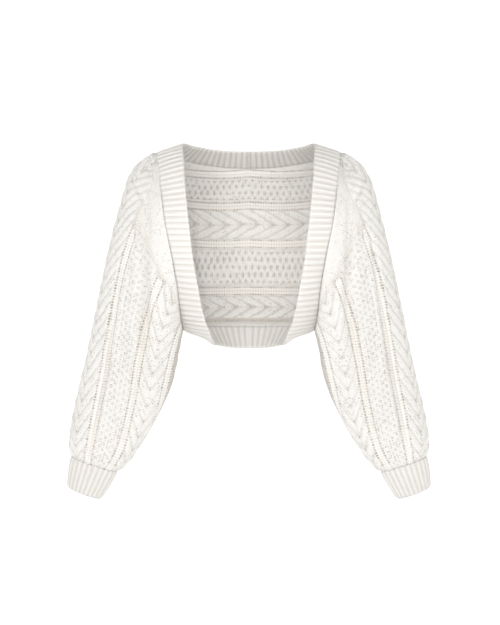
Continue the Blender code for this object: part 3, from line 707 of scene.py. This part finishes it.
class Shell:
    """The points, faces and per-point values of one piece of cloth."""

    VALUES = ("across", "along", "strip", "strip_far", "hollow", "join")

    def __init__(self):
        self.points, self.values, self.faces = [], [], []
        self.count = 0
        self.period = 0.0

    def add(self, points, **values):
        """Adds an array of points with their values. Returns their numbers, in the array's own shape."""
        shape = points.shape[:-1]
        flat = points.reshape(-1, 3)
        columns = [np.broadcast_to(values[name], shape).reshape(-1) for name in self.VALUES]
        self.points.append(flat)
        self.values.append(np.stack(columns, axis=1))
        numbers = np.arange(self.count, self.count + len(flat)).reshape(shape)
        self.count += len(flat)
        return numbers

    def grid(self, numbers, flip=False):
        """Faces over a grid of point numbers. A cell with repeated corners becomes a triangle or nothing."""
        a, b, c, d = numbers[:-1, :-1], numbers[:-1, 1:], numbers[1:, 1:], numbers[1:, :-1]
        cells = np.stack([a, b, c, d], axis=-1).reshape(-1, 4)
        if flip:
            cells = cells[:, ::-1]
        same = (cells == np.roll(cells, -1, axis=1)) | (cells == np.roll(cells, -2, axis=1))
        whole = ~same.any(axis=1)
        self.faces += cells[whole].tolist()
        for cell in cells[~whole].tolist():
            corners = list(dict.fromkeys(cell))
            if len(corners) > 2:
                self.faces.append(corners)

    def rim(self, one, other, flip=False):
        """Faces between two lines of point numbers of the same length."""
        self.grid(np.stack([one, other]), flip)

    def stitches(self, mesh, values):
        """The millimetres across and along the knitting, for every corner of every face."""
        knit = values[fetched(mesh.loops, "vertex_index", len(mesh.loops))][:, :2]
        if self.period:
            # the faces that close a loop carry on past its last stitch
            starts = fetched(mesh.polygons, "loop_start", len(mesh.polygons))
            totals = fetched(mesh.polygons, "loop_total", len(mesh.polygons))
            highest = np.maximum.reduceat(knit[:, 0], starts)
            short = np.repeat(highest, totals) - knit[:, 0] > self.period / 2
            knit[short, 0] += self.period
        return knit

    def object(self, name, material, mirrored=False):
        points, values, faces = np.concatenate(self.points) * MM, np.concatenate(self.values), self.faces
        if mirrored:
            points = points * MIRROR
            faces = [face[::-1] for face in faces]
        mesh = bpy.data.meshes.new(name)
        mesh.from_pydata(points.tolist(), [], faces)
        mesh.validate()
        uv = mesh.uv_layers.new(name="stitches")
        uv.data.foreach_set("uv", self.stitches(mesh, values).astype(np.float32).ravel())
        for column, label in list(enumerate(self.VALUES))[2:]:
            attribute = mesh.attributes.new(label, "FLOAT", "POINT")
            attribute.data.foreach_set("value", values[:, column].astype(np.float32))
        mesh.shade_smooth()
        mesh.materials.append(material)
        return linked(name, mesh)


def stacked(values):
    """One array for each name of a list of rows' values."""
    return {name: np.array([row[name] for row in values]) for name in Shell.VALUES}


def rounded(rows, courses, turns):
    """Rounds the front where the courses that start on the band give way to those closed under the arm."""
    near = [smooth(*limits, courses) for limits in ROUNDED_COURSES]
    front = [smooth(*limits, turns) for limits in ROUNDED_TURNS]
    started = np.array([turns > top_wale(course) for course in courses])
    share = (np.outer(near[0] * near[1], front[0] * front[1]) * started)[1:-1, :, None]
    for _ in range(ROUNDING):
        rows[1:-1] += share * ((rows[:-2] + rows[2:]) / 2 - rows[1:-1])
    return rows


def sleeve_rows(courses, turns, side):
    """The outer points, inner points and values along each course, before they are sewn to the opening."""
    known = [(course, np.maximum(turns, top_wale(course))) for course in courses]
    bases = rounded(np.array([ring_points(*place) for place in known]), courses, turns)
    normals = units(rounded(np.array([ring_normals(*place) for place in known]), courses, turns))
    outer, inner, values = [], [], []
    for course, base, normal in zip(courses, bases, normals):
        girth = course_line(course)[2]
        wales = turns if course <= UNDERARM else (turns + float(TWISTING(course))) % 1.0
        away, station, lobe, lobe_width = beside_seam(base, turns)
        height, knit = knitted(course, wales, girth, smooth(*LOBE_STRIP, lobe), lobe, HOLLOW_BELOW)
        # in the lobe the stitches run along the seam
        turned = lobe < 1.0
        from_turn = np.abs(lobe - 1.0) * lobe_width
        knit["across"] = np.where(turned, away, knit["across"])
        knit["along"] = np.where(turned, station, knit["along"])
        knit["join"] = np.where(turned, from_turn, np.minimum(from_turn, knit["join"]))
        push = fold_depth(course, turns, side) - unevenness(base, UNEVEN_SEEDS[side])
        push = push * smooth(*SETTLED_CUFF, CUFF_SEAM - course)
        if course < UNDERARM:
            push = push * seam_settled(course, turns, girth) * smooth(*SETTLED_LINE, course - SHOULDER)
        moved = base - normal * push[:, None]
        outer.append(moved + normal * height[:, None])
        inner.append(moved - normal * WALL)
        values.append(knit)
    return np.array(outer), np.array(inner), stacked(values)


def sleeve_shell(side):
    """Shoulder, upper front and sleeve of one side, laid out for the wearer's left. On the front a column of
    points starts on the band's seam at its own course, and its earlier points are all that first one."""
    shell = Shell()
    half = SLEEVE_COLUMNS // 2
    turns = np.linspace(0, 1, SLEEVE_COLUMNS + 1)
    early = np.linspace(SHOULDER, UNDERARM, round((UNDERARM - SHOULDER) / SLEEVE_ROW) + 1)
    late = np.linspace(UNDERARM, CUFF_SEAM, round((CUFF_SEAM - UNDERARM) / SLEEVE_ROW) + 1)[1:]
    courses = np.concatenate([early, late])
    underarm = len(early) - 1
    starts = front_course(turns[:half])
    stations = np.array([top_station(course) for course in starts] + [SHOULDER_STATION])
    front, front_way = SEAM(stations), seam_inward(stations)
    hem, hem_way = SEAM(HEM_STATION(early)), seam_inward(HEM_STATION(early))
    outer_points, inner_points, values = sleeve_rows(courses, turns, side)

    def sew(points, sunk):
        """Puts the ends of the courses on the opening's seam, and closes the rest under the arm."""
        on_front = front + sunk * front_way
        for k in range(underarm + 1):
            before = starts >= courses[k] - SAME
            points[k, :half][before] = on_front[:half][before]
        points[0, half] = on_front[half]
        points[:underarm, -1] = (hem + sunk * hem_way)[:underarm]
        points[underarm:, -1] = points[underarm:, 0]

    def numbered(points, rows):
        """Adds the points of some courses. Those that are one and the same point share its number."""
        numbers = shell.add(points[rows], **{name: value[rows] for name, value in values.items()})
        first = np.array([np.argmax(courses[rows] >= start - SAME) for start in starts])
        for k, course in enumerate(courses[rows]):
            if course < UNDERARM - SAME:
                before = starts >= course - SAME
                numbers[k, :half][before] = numbers[first, np.arange(half)][before]
            else:
                numbers[k, -1] = numbers[k, 0]
        return numbers

    sew(outer_points, 0)
    sew(inner_points, 1)
    rows = np.arange(len(courses))
    outer = numbered(outer_points, rows)
    inner = numbered(inner_points, np.unique([*rows[:underarm], *rows[underarm::INNER_STEP], rows[-1]]))
    shell.grid(outer)
    shell.grid(inner, flip=True)
    shell.rim(inner[0], outer[0])
    shell.rim(outer[-1], inner[-1])
    shell.rim(outer[: underarm + 1, -1], inner[: underarm + 1, -1])
    return shell, outer[0, half:]


def back_shell():
    """The back, from one shoulder line to the other, with its cables raised on both sides."""
    shell = Shell()
    half_turns = np.linspace(0, 1, SLEEVE_COLUMNS // 2 + 1)
    half_rows = np.linspace(0, SHOULDER, round(SHOULDER / BACK_ROW) + 1)
    outer_points, inner_points, values = [], [], []
    for signed in np.concatenate([-half_rows[:0:-1], half_rows]):
        course, side = abs(signed), MIRROR if signed < 0 else np.ones(3)
        turns = mix(top_wale(course), 1.0, half_turns)
        girth = course_line(course)[2]
        base, normal = ring_points(course, turns) * side, ring_normals(course, turns) * side
        whole = np.ones_like(turns)
        height, knit = knitted(signed, turns, girth, whole, whole * WELL_AWAY, BACK_HOLLOW_BELOW)
        settled = seam_settled(course, turns, girth) * smooth(*SETTLED_LINE, SHOULDER - course)
        moved = base + normal * (unevenness(base, UNEVEN_SEEDS["back"]) * settled)[:, None]
        inner_height = height * smooth(*LINE_START, SHOULDER - course)
        outer = moved + normal * height[:, None]
        inner = moved - normal * (WALL + inner_height)[:, None]
        stations = np.array([top_station(course), float(HEM_STATION(course))])
        way = seam_inward(stations) * side
        outer[[0, -1]] = SEAM(stations) * side
        inner[[0, -1]] = outer[[0, -1]] + (way if course else way * UPRIGHT)
        outer_points.append(outer)
        inner_points.append(inner)
        values.append(knit)
    values = stacked(values)
    outer, inner = shell.add(np.array(outer_points), **values), shell.add(np.array(inner_points), **values)
    shell.grid(outer)
    shell.grid(inner, flip=True)
    shell.rim(inner[:, 0], outer[:, 0])
    shell.rim(outer[:, -1], inner[:, -1])
    shell.rim(outer[0], inner[0])
    shell.rim(inner[-1], outer[-1])
    return shell, outer[0], outer[-1]


def rib_profile(turns):
    """How far each rib stands up from the valley beside it, from 0 to 1."""
    from_crest = np.abs((turns - RIB_CREST + 0.5) % 1.0 - 0.5)
    return np.clip(1 - from_crest / RIB_HALF_WIDTH, 0.0, 1.0) ** 0.5


def two_sides(outer, inner, edge_way, shares, width, ribs):
    """A ribbed piece's rows down its outer side, round its free edge and up its inner side, with the
    millimetres along them and how much each place is on a rib. Inside, ribs and valleys change places."""
    edge = (outer[-1] + inner[-1]) / 2 + edge_way
    rows = np.concatenate([outer, edge[None], inner[::-1]])
    along = np.concatenate([shares, [1.0], shares[::-1]])[:, None] * width
    on_rib = np.broadcast_to(ribs, along.shape).copy()
    on_rib[len(shares) + 1:] = 1 - on_rib[len(shares) + 1:]
    return rows, along, on_rib


def ribbed_shell(rows, turns, along, on_rib, rib_count, flip=False):
    """A closed shell over rows of points that are loops. turns counts the ribs round them."""
    shell = Shell()
    shell.period = rib_count * STITCHES_A_RIB * STITCH_WIDE
    across = (turns + RIB_SHIFT) * STITCHES_A_RIB * STITCH_WIDE
    # painted shade: the valleys between the ribs get more of it than the crests
    numbers = shell.add(
        rows, across=across, along=along, strip=FAR_OFF, strip_far=0.0, join=FAR_OFF,
        hollow=1 - RIB_SHADE * on_rib,
    )
    loops = np.concatenate([numbers, numbers[:, :1]], axis=1)
    shell.grid(loops, flip)
    shell.rim(loops[-1], loops[0], flip)
    return shell


def band_shell():
    """One ribbed strip round the whole opening, with the same ribs on both sides."""
    half = np.linspace(0, HALF_LOOP, RIBS_PER_HALF * RIB_COLUMNS + 1)
    shares = np.linspace(0, 1, BAND_ROWS)
    rise = np.minimum(*(smooth(*limits, shares) for limits in BAND_RISE))
    reach, start, fullness = BAND_SWELL
    puff = np.sin(np.pi * (shares * reach + start)) ** fullness
    normals, inward = band_normals(half), seam_inward(half)
    normals[[0, -1]] = units(normals[[0, -1]] * UPRIGHT)
    inward[[0, -1]] *= UPRIGHT
    turns = half / HALF_LOOP * RIBS_PER_HALF
    ribs = rib_profile(turns)
    seam, edge = SEAM(half), EDGE(half)
    wave = sum(height * np.sin(half / length + start) for height, length, start in BAND_WAVES)
    outer, inner = [], []
    for share, up, full in zip(shares, rise, puff):
        base = mix(seam, edge, share)
        sway = wave * math.sin(math.pi * share)
        lift = RIB_RELIEF * ribs * up + BAND_PUFF * full + sway
        sink = RIB_RELIEF * (1 - ribs) * up * INNER_RIBS + BAND_PUFF * full * INNER_PUFF - sway
        through = mix(inward, -normals * WALL, smooth(0.0, BAND_TURN_IN, share))
        outer.append(base + normals * lift[:, None])
        inner.append(base + through - normals * sink[:, None])
    width = np.linalg.norm(edge - seam, axis=1)
    rows, along, on_rib = two_sides(outer, inner, units(edge - seam) * BAND_EDGE, shares, width, ribs)
    turns = np.broadcast_to(turns, along.shape)

    def whole(one, other):
        """The other half of the loop is the mirror image."""
        return np.concatenate([one, other[:, -2:0:-1]], axis=1)

    return ribbed_shell(
        whole(rows, rows * MIRROR), whole(turns, 2 * RIBS_PER_HALF - turns), whole(along, along),
        whole(on_rib, on_rib), 2 * RIBS_PER_HALF, flip=True,
    )


def cuff_shell():
    """The wearer's left cuff, from its seam to its free edge."""
    outer_end, inner_end = np.array(CUFF_OUTER, float), np.array(CUFF_INNER, float)
    front = bow(inner_end, outer_end, -CUFF_DEPTH * BACKWARD, 1.0)
    ring = np.concatenate([front, bow(outer_end, inner_end, CUFF_DEPTH * BACKWARD, 1.0)[1:]])
    far = lengths(ring)
    axis = units((outer_end + inner_end - CREST(CUFF_SEAM) - UNDERSIDE(CUFF_SEAM)) / 2)
    turns = np.linspace(0, 1, CUFF_RIBS * CUFF_RIB_COLUMNS + 1)[:-1]
    seam, edge = ring_points(CUFF_SEAM, turns), between_points(turns, far / far[-1], ring)
    out = ring_normals(CUFF_SEAM, turns)
    out = units(out - axis * (out @ axis)[:, None])
    ribs = rib_profile(turns * CUFF_RIBS)
    shares = np.linspace(0, 1, CUFF_ROWS)
    outer, inner = [], []
    for share in shares:
        base = mix(seam, edge, share)
        up = min(smooth(*limits, share) for limits in CUFF_RISE)
        full = CUFF_PUFF * math.sin(math.pi * share) ** CUFF_SWELL
        lift, sink = RIB_RELIEF * CUFF_RELIEF * ribs * up + full, RIB_RELIEF * INNER_RIBS * (1 - ribs) * up
        outer.append(base + out * lift[:, None])
        inner.append(base - out * (WALL + sink)[:, None])
    width = np.linalg.norm(edge - seam, axis=1)
    rows, along, on_rib = two_sides(outer, inner, units(edge - seam) * CUFF_EDGE, shares, width, ribs)
    return ribbed_shell(rows, turns * CUFF_RIBS, along, on_rib, CUFF_RIBS)


# ---- the wool
def operator(operation):
    return lambda signal, *others: signal.nodes.math(operation, signal, *others)


class Signal:
    """A value that a material's nodes pass on. Arithmetic with it adds math nodes."""

    __add__, __sub__, __mul__ = operator("ADD"), operator("SUBTRACT"), operator("MULTIPLY")
    __truediv__, __pow__, __abs__ = operator("DIVIDE"), operator("POWER"), operator("ABSOLUTE")

    def __init__(self, nodes, socket):
        self.nodes, self.socket = nodes, socket

    def __rsub__(self, other):
        return self.nodes.math("SUBTRACT", other, self)


class Nodes:
    """A short way to write a material's nodes."""

    def __init__(self, tree):
        self.tree = tree

    def put(self, value, socket):
        if isinstance(value, Signal):
            self.tree.links.new(value.socket, socket)
        else:
            socket.default_value = value

    def add(self, kind, inputs=(), output=0, **settings):
        """Adds a node with the inputs given by name or number, and returns one of its outputs."""
        node = self.tree.nodes.new(f"ShaderNode{kind}")
        for name, value in settings.items():
            setattr(node, name, value)
        for name, value in dict(inputs).items():
            self.put(value, node.inputs[name])
        return Signal(self, node.outputs[output])

    def math(self, operation, *values):
        return self.add("Math", enumerate(values), operation=operation)

    def attribute(self, name):
        return self.add("Attribute", output="Fac", attribute_name=name)

    def distance(self, one, other):
        return self.math("SQRT", one * one + other * other)

    def off_middle(self, value):
        """How far a value is from halfway between two whole numbers."""
        return self.math("FRACT", value) - 0.5

    def random(self, one, other):
        """A number from 0 to 1 for each pair of whole numbers."""
        pair = self.add("CombineXYZ", {0: one, 1: other})
        return self.add("TexWhiteNoise", {"Vector": pair}, "Value", noise_dimensions="3D")

    def noise(self, vector, scale, detail):
        return self.add("TexNoise", {"Vector": vector, "Scale": scale, "Detail": detail})

    def rise(self, value, low, high, out_low=0.0, out_high=1.0):
        limits = enumerate((value, low, high, out_low, out_high))
        return self.add("MapRange", limits, interpolation_type="SMOOTHSTEP")

    def level(self, value, middle, share):
        """The value where share is 1, and the number middle where it is 0."""
        return (value - middle) * share + middle

    def mix_colour(self, share, one, other):
        return self.add("Mix", {"Factor": share, "A": one, "B": other}, "Result", data_type="RGBA")


def new_material(name, surface):
    """A new material with these values on its shader, and the shader."""
    material = bpy.data.materials.new(name)
    material.use_nodes = True
    shader = material.node_tree.nodes["Principled BSDF"]
    for socket, value in surface.items():
        shader.inputs[socket].default_value = value
    return material, shader


WOOL_SURFACE = {
    "Roughness": 0.88, "Specular IOR Level": 0.25,
    "Sheen Weight": 0.25, "Sheen Roughness": 0.6, "Sheen Tint": (0.96, 0.95, 0.93, 1.0),
}
WOOL_LIGHT = (0.93, 0.915, 0.885, 1.0)
# painted shade between the stitches and in the pattern's hollows, and a little of the strips' own deeper
# tone
WOOL_SHADE_AND_TONE = (0.50, 0.45, 0.38, 1.0)
# painted shade in the gaps between stitches and in the eyelets
WOOL_SHADE = (0.20, 0.17, 0.13, 1.0)
LEG_LEAN = 1.6  # how far a stitch's legs lean, in stitches for a whole stitch across
LEG_ROUND, LEG_SIDES = 0.6, 0.45
GAP = (2.0, 0.6)  # millimetres from its middle to where a gap ends and to where it is full
EYELET = (2.0, 0.7)
EYELET_SEED = 7.0
JOIN = (0.8, 1.8)  # from an edge between two kinds of stitches to where they start, and are whole
LINE_TONE, LINE_HEIGHT = 0.45, 0.6  # on such an edge: how deep its tone is, and how high its yarn
# scale and detail of the noises
YARN, PATCHES, LOOSENESS = (900.0, 2.0), (9.0, 3.0), (70.0, 1.0)
# what a number rises between, and from what to what, where that isn't 0 to 1
SELDOM, LOOSE = (0.35, 1.0), (0.35, 0.65, 0.3, 1.0)  # gaps anywhere: by chance, and by looseness
PIT, PIT_CHANCE = (0.45, 0.8), (0.0, 0.8, 0.35, 1.0)  # gaps in the hollows: by depth, and by chance
EYELET_CHANCE = (0.0, 1.0, 0.35, 1.0)
PATCH_TONE = (0.2, 0.8, 0.85, 1.15)
# painted shade along the valleys of the pattern: the depths of hollow it rises between
VALLEY_SHADE = (0.25, 0.8)
STRIP_TONE = (STRIP_LINE, STRIP_LINE - 2.5, 0.0, 0.03)
# painted shade between the stitches' legs, more in the hollows of the pattern
BETWEEN_SHADE, HOLLOW_SHADE, TONE_POWER = 0.50, 0.40, 1.4  # between stitches, and more so in the hollows
# how fully the gaps and eyelets are painted with shade
HOLE_SHADE = 0.9
YARN_BUMP, HOLE_BUMP = 0.35, 1.4
BUMP_STRENGTH, BUMP_DISTANCE = 0.9, 0.0012


def wool(name, shown, pits, valleys):
    """Undyed wool: rows of V-shaped stitches, and eyelets along the strips. The gaps between stitches show
    by shown anywhere, and by pits in the hollows of the pattern. Shade is painted into the gaps and eyelets,
    between the stitches, and in the hollows, there the more by valleys."""
    material, shader = new_material(name, WOOL_SURFACE)
    n = Nodes(material.node_tree)
    uv = n.add("UVMap", uv_map="stitches")
    u, v = (n.add("SeparateXYZ", {0: uv}, axis) for axis in (0, 1))
    hollow, strip, strip_far, join = map(n.attribute, ("hollow", "strip", "strip_far", "join"))
    place = n.add("TexCoord", output="Object")
    yarn, patch, loose = (n.noise(place, *grain) for grain in (YARN, PATCHES, LOOSENESS))

    # one stitch is a V: two legs that lean to each other, one V above the next
    column, row = u / STITCH_WIDE, v / STITCH_HIGH
    cell = n.off_middle(column)
    side = abs(cell)
    leg = abs(n.math("SINE", (row - side * LEG_LEAN) * math.pi))
    across_leg = n.math("MAXIMUM", n.math("SINE", side * (2 * math.pi)), 0.0)
    stitch = leg ** LEG_ROUND * across_leg ** LEG_SIDES

    # a gap opens in the middle of each V, wider in some than in others, and is painted with shade
    chance = n.random(n.math("FLOOR", column), n.math("FLOOR", row))
    from_gap = n.distance(cell * STITCH_WIDE, n.off_middle(row) * STITCH_HIGH)
    seldom = n.rise(chance, *SELDOM) * n.rise(loose, *LOOSE)
    in_pit = n.rise(hollow, *PIT) * n.rise(chance, *PIT_CHANCE)
    dot = n.rise(from_gap, *GAP) * n.math("MAXIMUM", seldom * shown, in_pit * pits)

    # eyelets: a hole painted with shade at each pitch on the two lines beside a strip's column
    off_line, pitch = strip - STRIP_LINE, strip_far / EYELET_PITCH
    eyelet_chance = n.random(n.math("FLOOR", pitch), EYELET_SEED)
    eyelet = n.rise(n.distance(off_line, n.off_middle(pitch) * EYELET_PITCH), *EYELET)
    eyelet = eyelet * n.rise(eyelet_chance, *EYELET_CHANCE)

    # the stitches of two panels don't fit each other, so they end where the panels join
    on_panel = n.rise(n.math("MINIMUM", abs(off_line), join), *JOIN)
    holes = n.math("MAXIMUM", dot * on_panel, eyelet)
    # painted shade between the stitch legs and in the hollows; a slightly deeper tone mid-strip
    deep = (1.0 - stitch) ** TONE_POWER * (hollow * HOLLOW_SHADE + BETWEEN_SHADE) * n.rise(patch, *PATCH_TONE)
    deep = deep + n.rise(hollow, *VALLEY_SHADE) * valleys + n.rise(strip, *STRIP_TONE)
    deep = n.math("MINIMUM", n.level(deep, LINE_TONE, on_panel), 1.0)
    n.put(n.mix_colour(holes * HOLE_SHADE, n.mix_colour(deep, WOOL_LIGHT, WOOL_SHADE_AND_TONE), WOOL_SHADE),
          shader.inputs["Base Color"])

    height = n.level(stitch, LINE_HEIGHT, on_panel) + yarn * YARN_BUMP - holes * HOLE_BUMP
    bump = {"Strength": BUMP_STRENGTH, "Distance": BUMP_DISTANCE, "Height": height}
    n.put(n.add("Bump", bump), shader.inputs["Normal"])
    return material


# ---- the pieces
CABLED = wool("cabled_wool", 0.62, 0.9, 0.36)
RIBBED = wool("ribbed_wool", 0.1, 0.15, 0.16)


def vertex_normals(mesh):
    return fetched(mesh.vertex_normals, "vector", len(mesh.vertices) * 3, np.float32).reshape(-1, 3)


def join_shading(back, pairs):
    """Gives the points on the line between the back and each sleeve one normal, so that no edge shows."""
    back_normals = vertex_normals(back.data)
    for sleeve, line, back_line in pairs:
        normals = vertex_normals(sleeve.data)
        shared = units(normals[line] + back_normals[back_line])
        normals[line], back_normals[back_line] = shared, shared
        sleeve.data.normals_split_custom_set_from_vertices(normals.tolist())
    back.data.normals_split_custom_set_from_vertices(back_normals.tolist())


def finish_piece(item, node):
    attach(item, "root")
    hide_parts(node)


SIDES = {"left": False, "right": True}  # whether each is the mirror image of what the shells make
back_cloth, back_right_line, back_left_line = back_shell()
back = back_cloth.object("knit_back", CABLED)
sleeves, sleeve_lines = {}, {}
for side, mirrored in SIDES.items():
    cloth, sleeve_lines[side] = sleeve_shell(side)
    sleeves[side] = cloth.object(f"knit_sleeve_{side}", CABLED, mirrored)
band = band_shell().object("ribbed_band", RIBBED)
cuffs = {
    side: cuff_shell().object(f"ribbed_cuff_{side}", RIBBED, mirrored) for side, mirrored in SIDES.items()
}
join_shading(back, [
    (sleeves["left"], sleeve_lines["left"], back_left_line),
    (sleeves["right"], sleeve_lines["right"], back_right_line),
])

finish_piece(back, "back")
for side in SIDES:
    finish_piece(sleeves[side], f"sleeve_{side}")
    finish_piece(cuffs[side], f"cuff_{side}")
finish_piece(band, "band")

# ---- the studio, in metres
CAMERA_AT = (0.002, -2.6, -0.325)
LENS, SENSOR, CLIP_END = 76.8, 36.0, 50
FLOOR = -1.02
ROOM_RADIUS, ROOM_BEND, ROOM_TOP = 5.0, 1.2, 1.8
ROOM_SIDES = 72
BEND_STEPS = 9
PAPER = {
    "Base Color": (0.5, 0.5, 0.5, 1.0), "Roughness": 0.9,
    "Emission Color": (1.0, 1.0, 1.0, 1.0), "Emission Strength": 0.74,
}
WORLD = {"Color": (1.0, 1.0, 1.0, 1.0), "Strength": 0.46}
TARGET = (0, 0, -0.3)
# kind, place, target and own values: three soft discs, and a narrow light through the front opening
LIGHTS = {
    "key": ("AREA", (-1.4, -2.6, 1.3), TARGET, {"energy": 24, "shape": "DISK", "size": 1.6}),
    "front": ("AREA", (0.5, -3.2, 0.4), TARGET, {"energy": 23, "shape": "DISK", "size": 2.6}),
    "fill": ("AREA", (2.2, -2.0, 0.0), TARGET, {"energy": 5, "shape": "DISK", "size": 2.0}),
    "opening": ("SPOT", (-0.2, -3.0, 0.3), (0.01, 0.08, -0.2), {
        "energy": 135, "spot_size": math.radians(7), "spot_blend": 1.0, "shadow_soft_size": 0.08,
    }),
}


def sweep():
    """A round pale paper floor that curves up into a wall all round, open at the top."""
    bend = [
        (ROOM_RADIUS - ROOM_BEND * (1 - math.sin(a)), FLOOR + ROOM_BEND * (1 - math.cos(a)))
        for a in np.linspace(0, math.pi / 2, BEND_STEPS)
    ]
    profile = [*bend, (ROOM_RADIUS, ROOM_TOP)]
    angles = np.linspace(0, 2 * math.pi, ROOM_SIDES, endpoint=False)
    points = [(0.0, 0.0, FLOOR)]
    points += [(far * math.cos(a), far * math.sin(a), z) for far, z in profile for a in angles]
    faces = []
    for k in range(ROOM_SIDES):
        beside = (k + 1) % ROOM_SIDES
        faces.append((0, 1 + k, 1 + beside))
        for ring in range(len(profile) - 1):
            low, high = 1 + ring * ROOM_SIDES, 1 + (ring + 1) * ROOM_SIDES
            faces.append((low + k, high + k, high + beside, low + beside))
    mesh = bpy.data.meshes.new("paper_sweep")
    mesh.from_pydata(points, [], faces)
    mesh.shade_smooth()
    mesh.materials.append(new_material("white_paper", PAPER)[0])
    linked("paper_sweep", mesh)


def light(name, kind, place, target, settings):
    lamp = bpy.data.lights.new(name, kind)
    for setting, value in settings.items():
        setattr(lamp, setting, value)
    item = linked(name, lamp)
    item.location = place
    item.rotation_euler = (Vector(target) - Vector(place)).to_track_quat("-Z", "Y").to_euler()


def studio():
    sweep()
    for name, light_values in LIGHTS.items():
        light(name, *light_values)
    world = bpy.data.worlds.new("studio")
    world.use_nodes = True
    for socket, value in WORLD.items():
        world.node_tree.nodes["Background"].inputs[socket].default_value = value
    camera = bpy.data.cameras.new("camera")
    camera.lens, camera.sensor_width, camera.sensor_fit = LENS, SENSOR, "AUTO"
    camera.clip_end = CLIP_END
    item = linked("camera", camera)
    item.location = CAMERA_AT
    item.rotation_euler = (math.radians(90), 0, 0)
    bpy.context.scene.world = world
    bpy.context.scene.camera = item
    bpy.context.scene.view_settings.view_transform = "Standard"


studio()
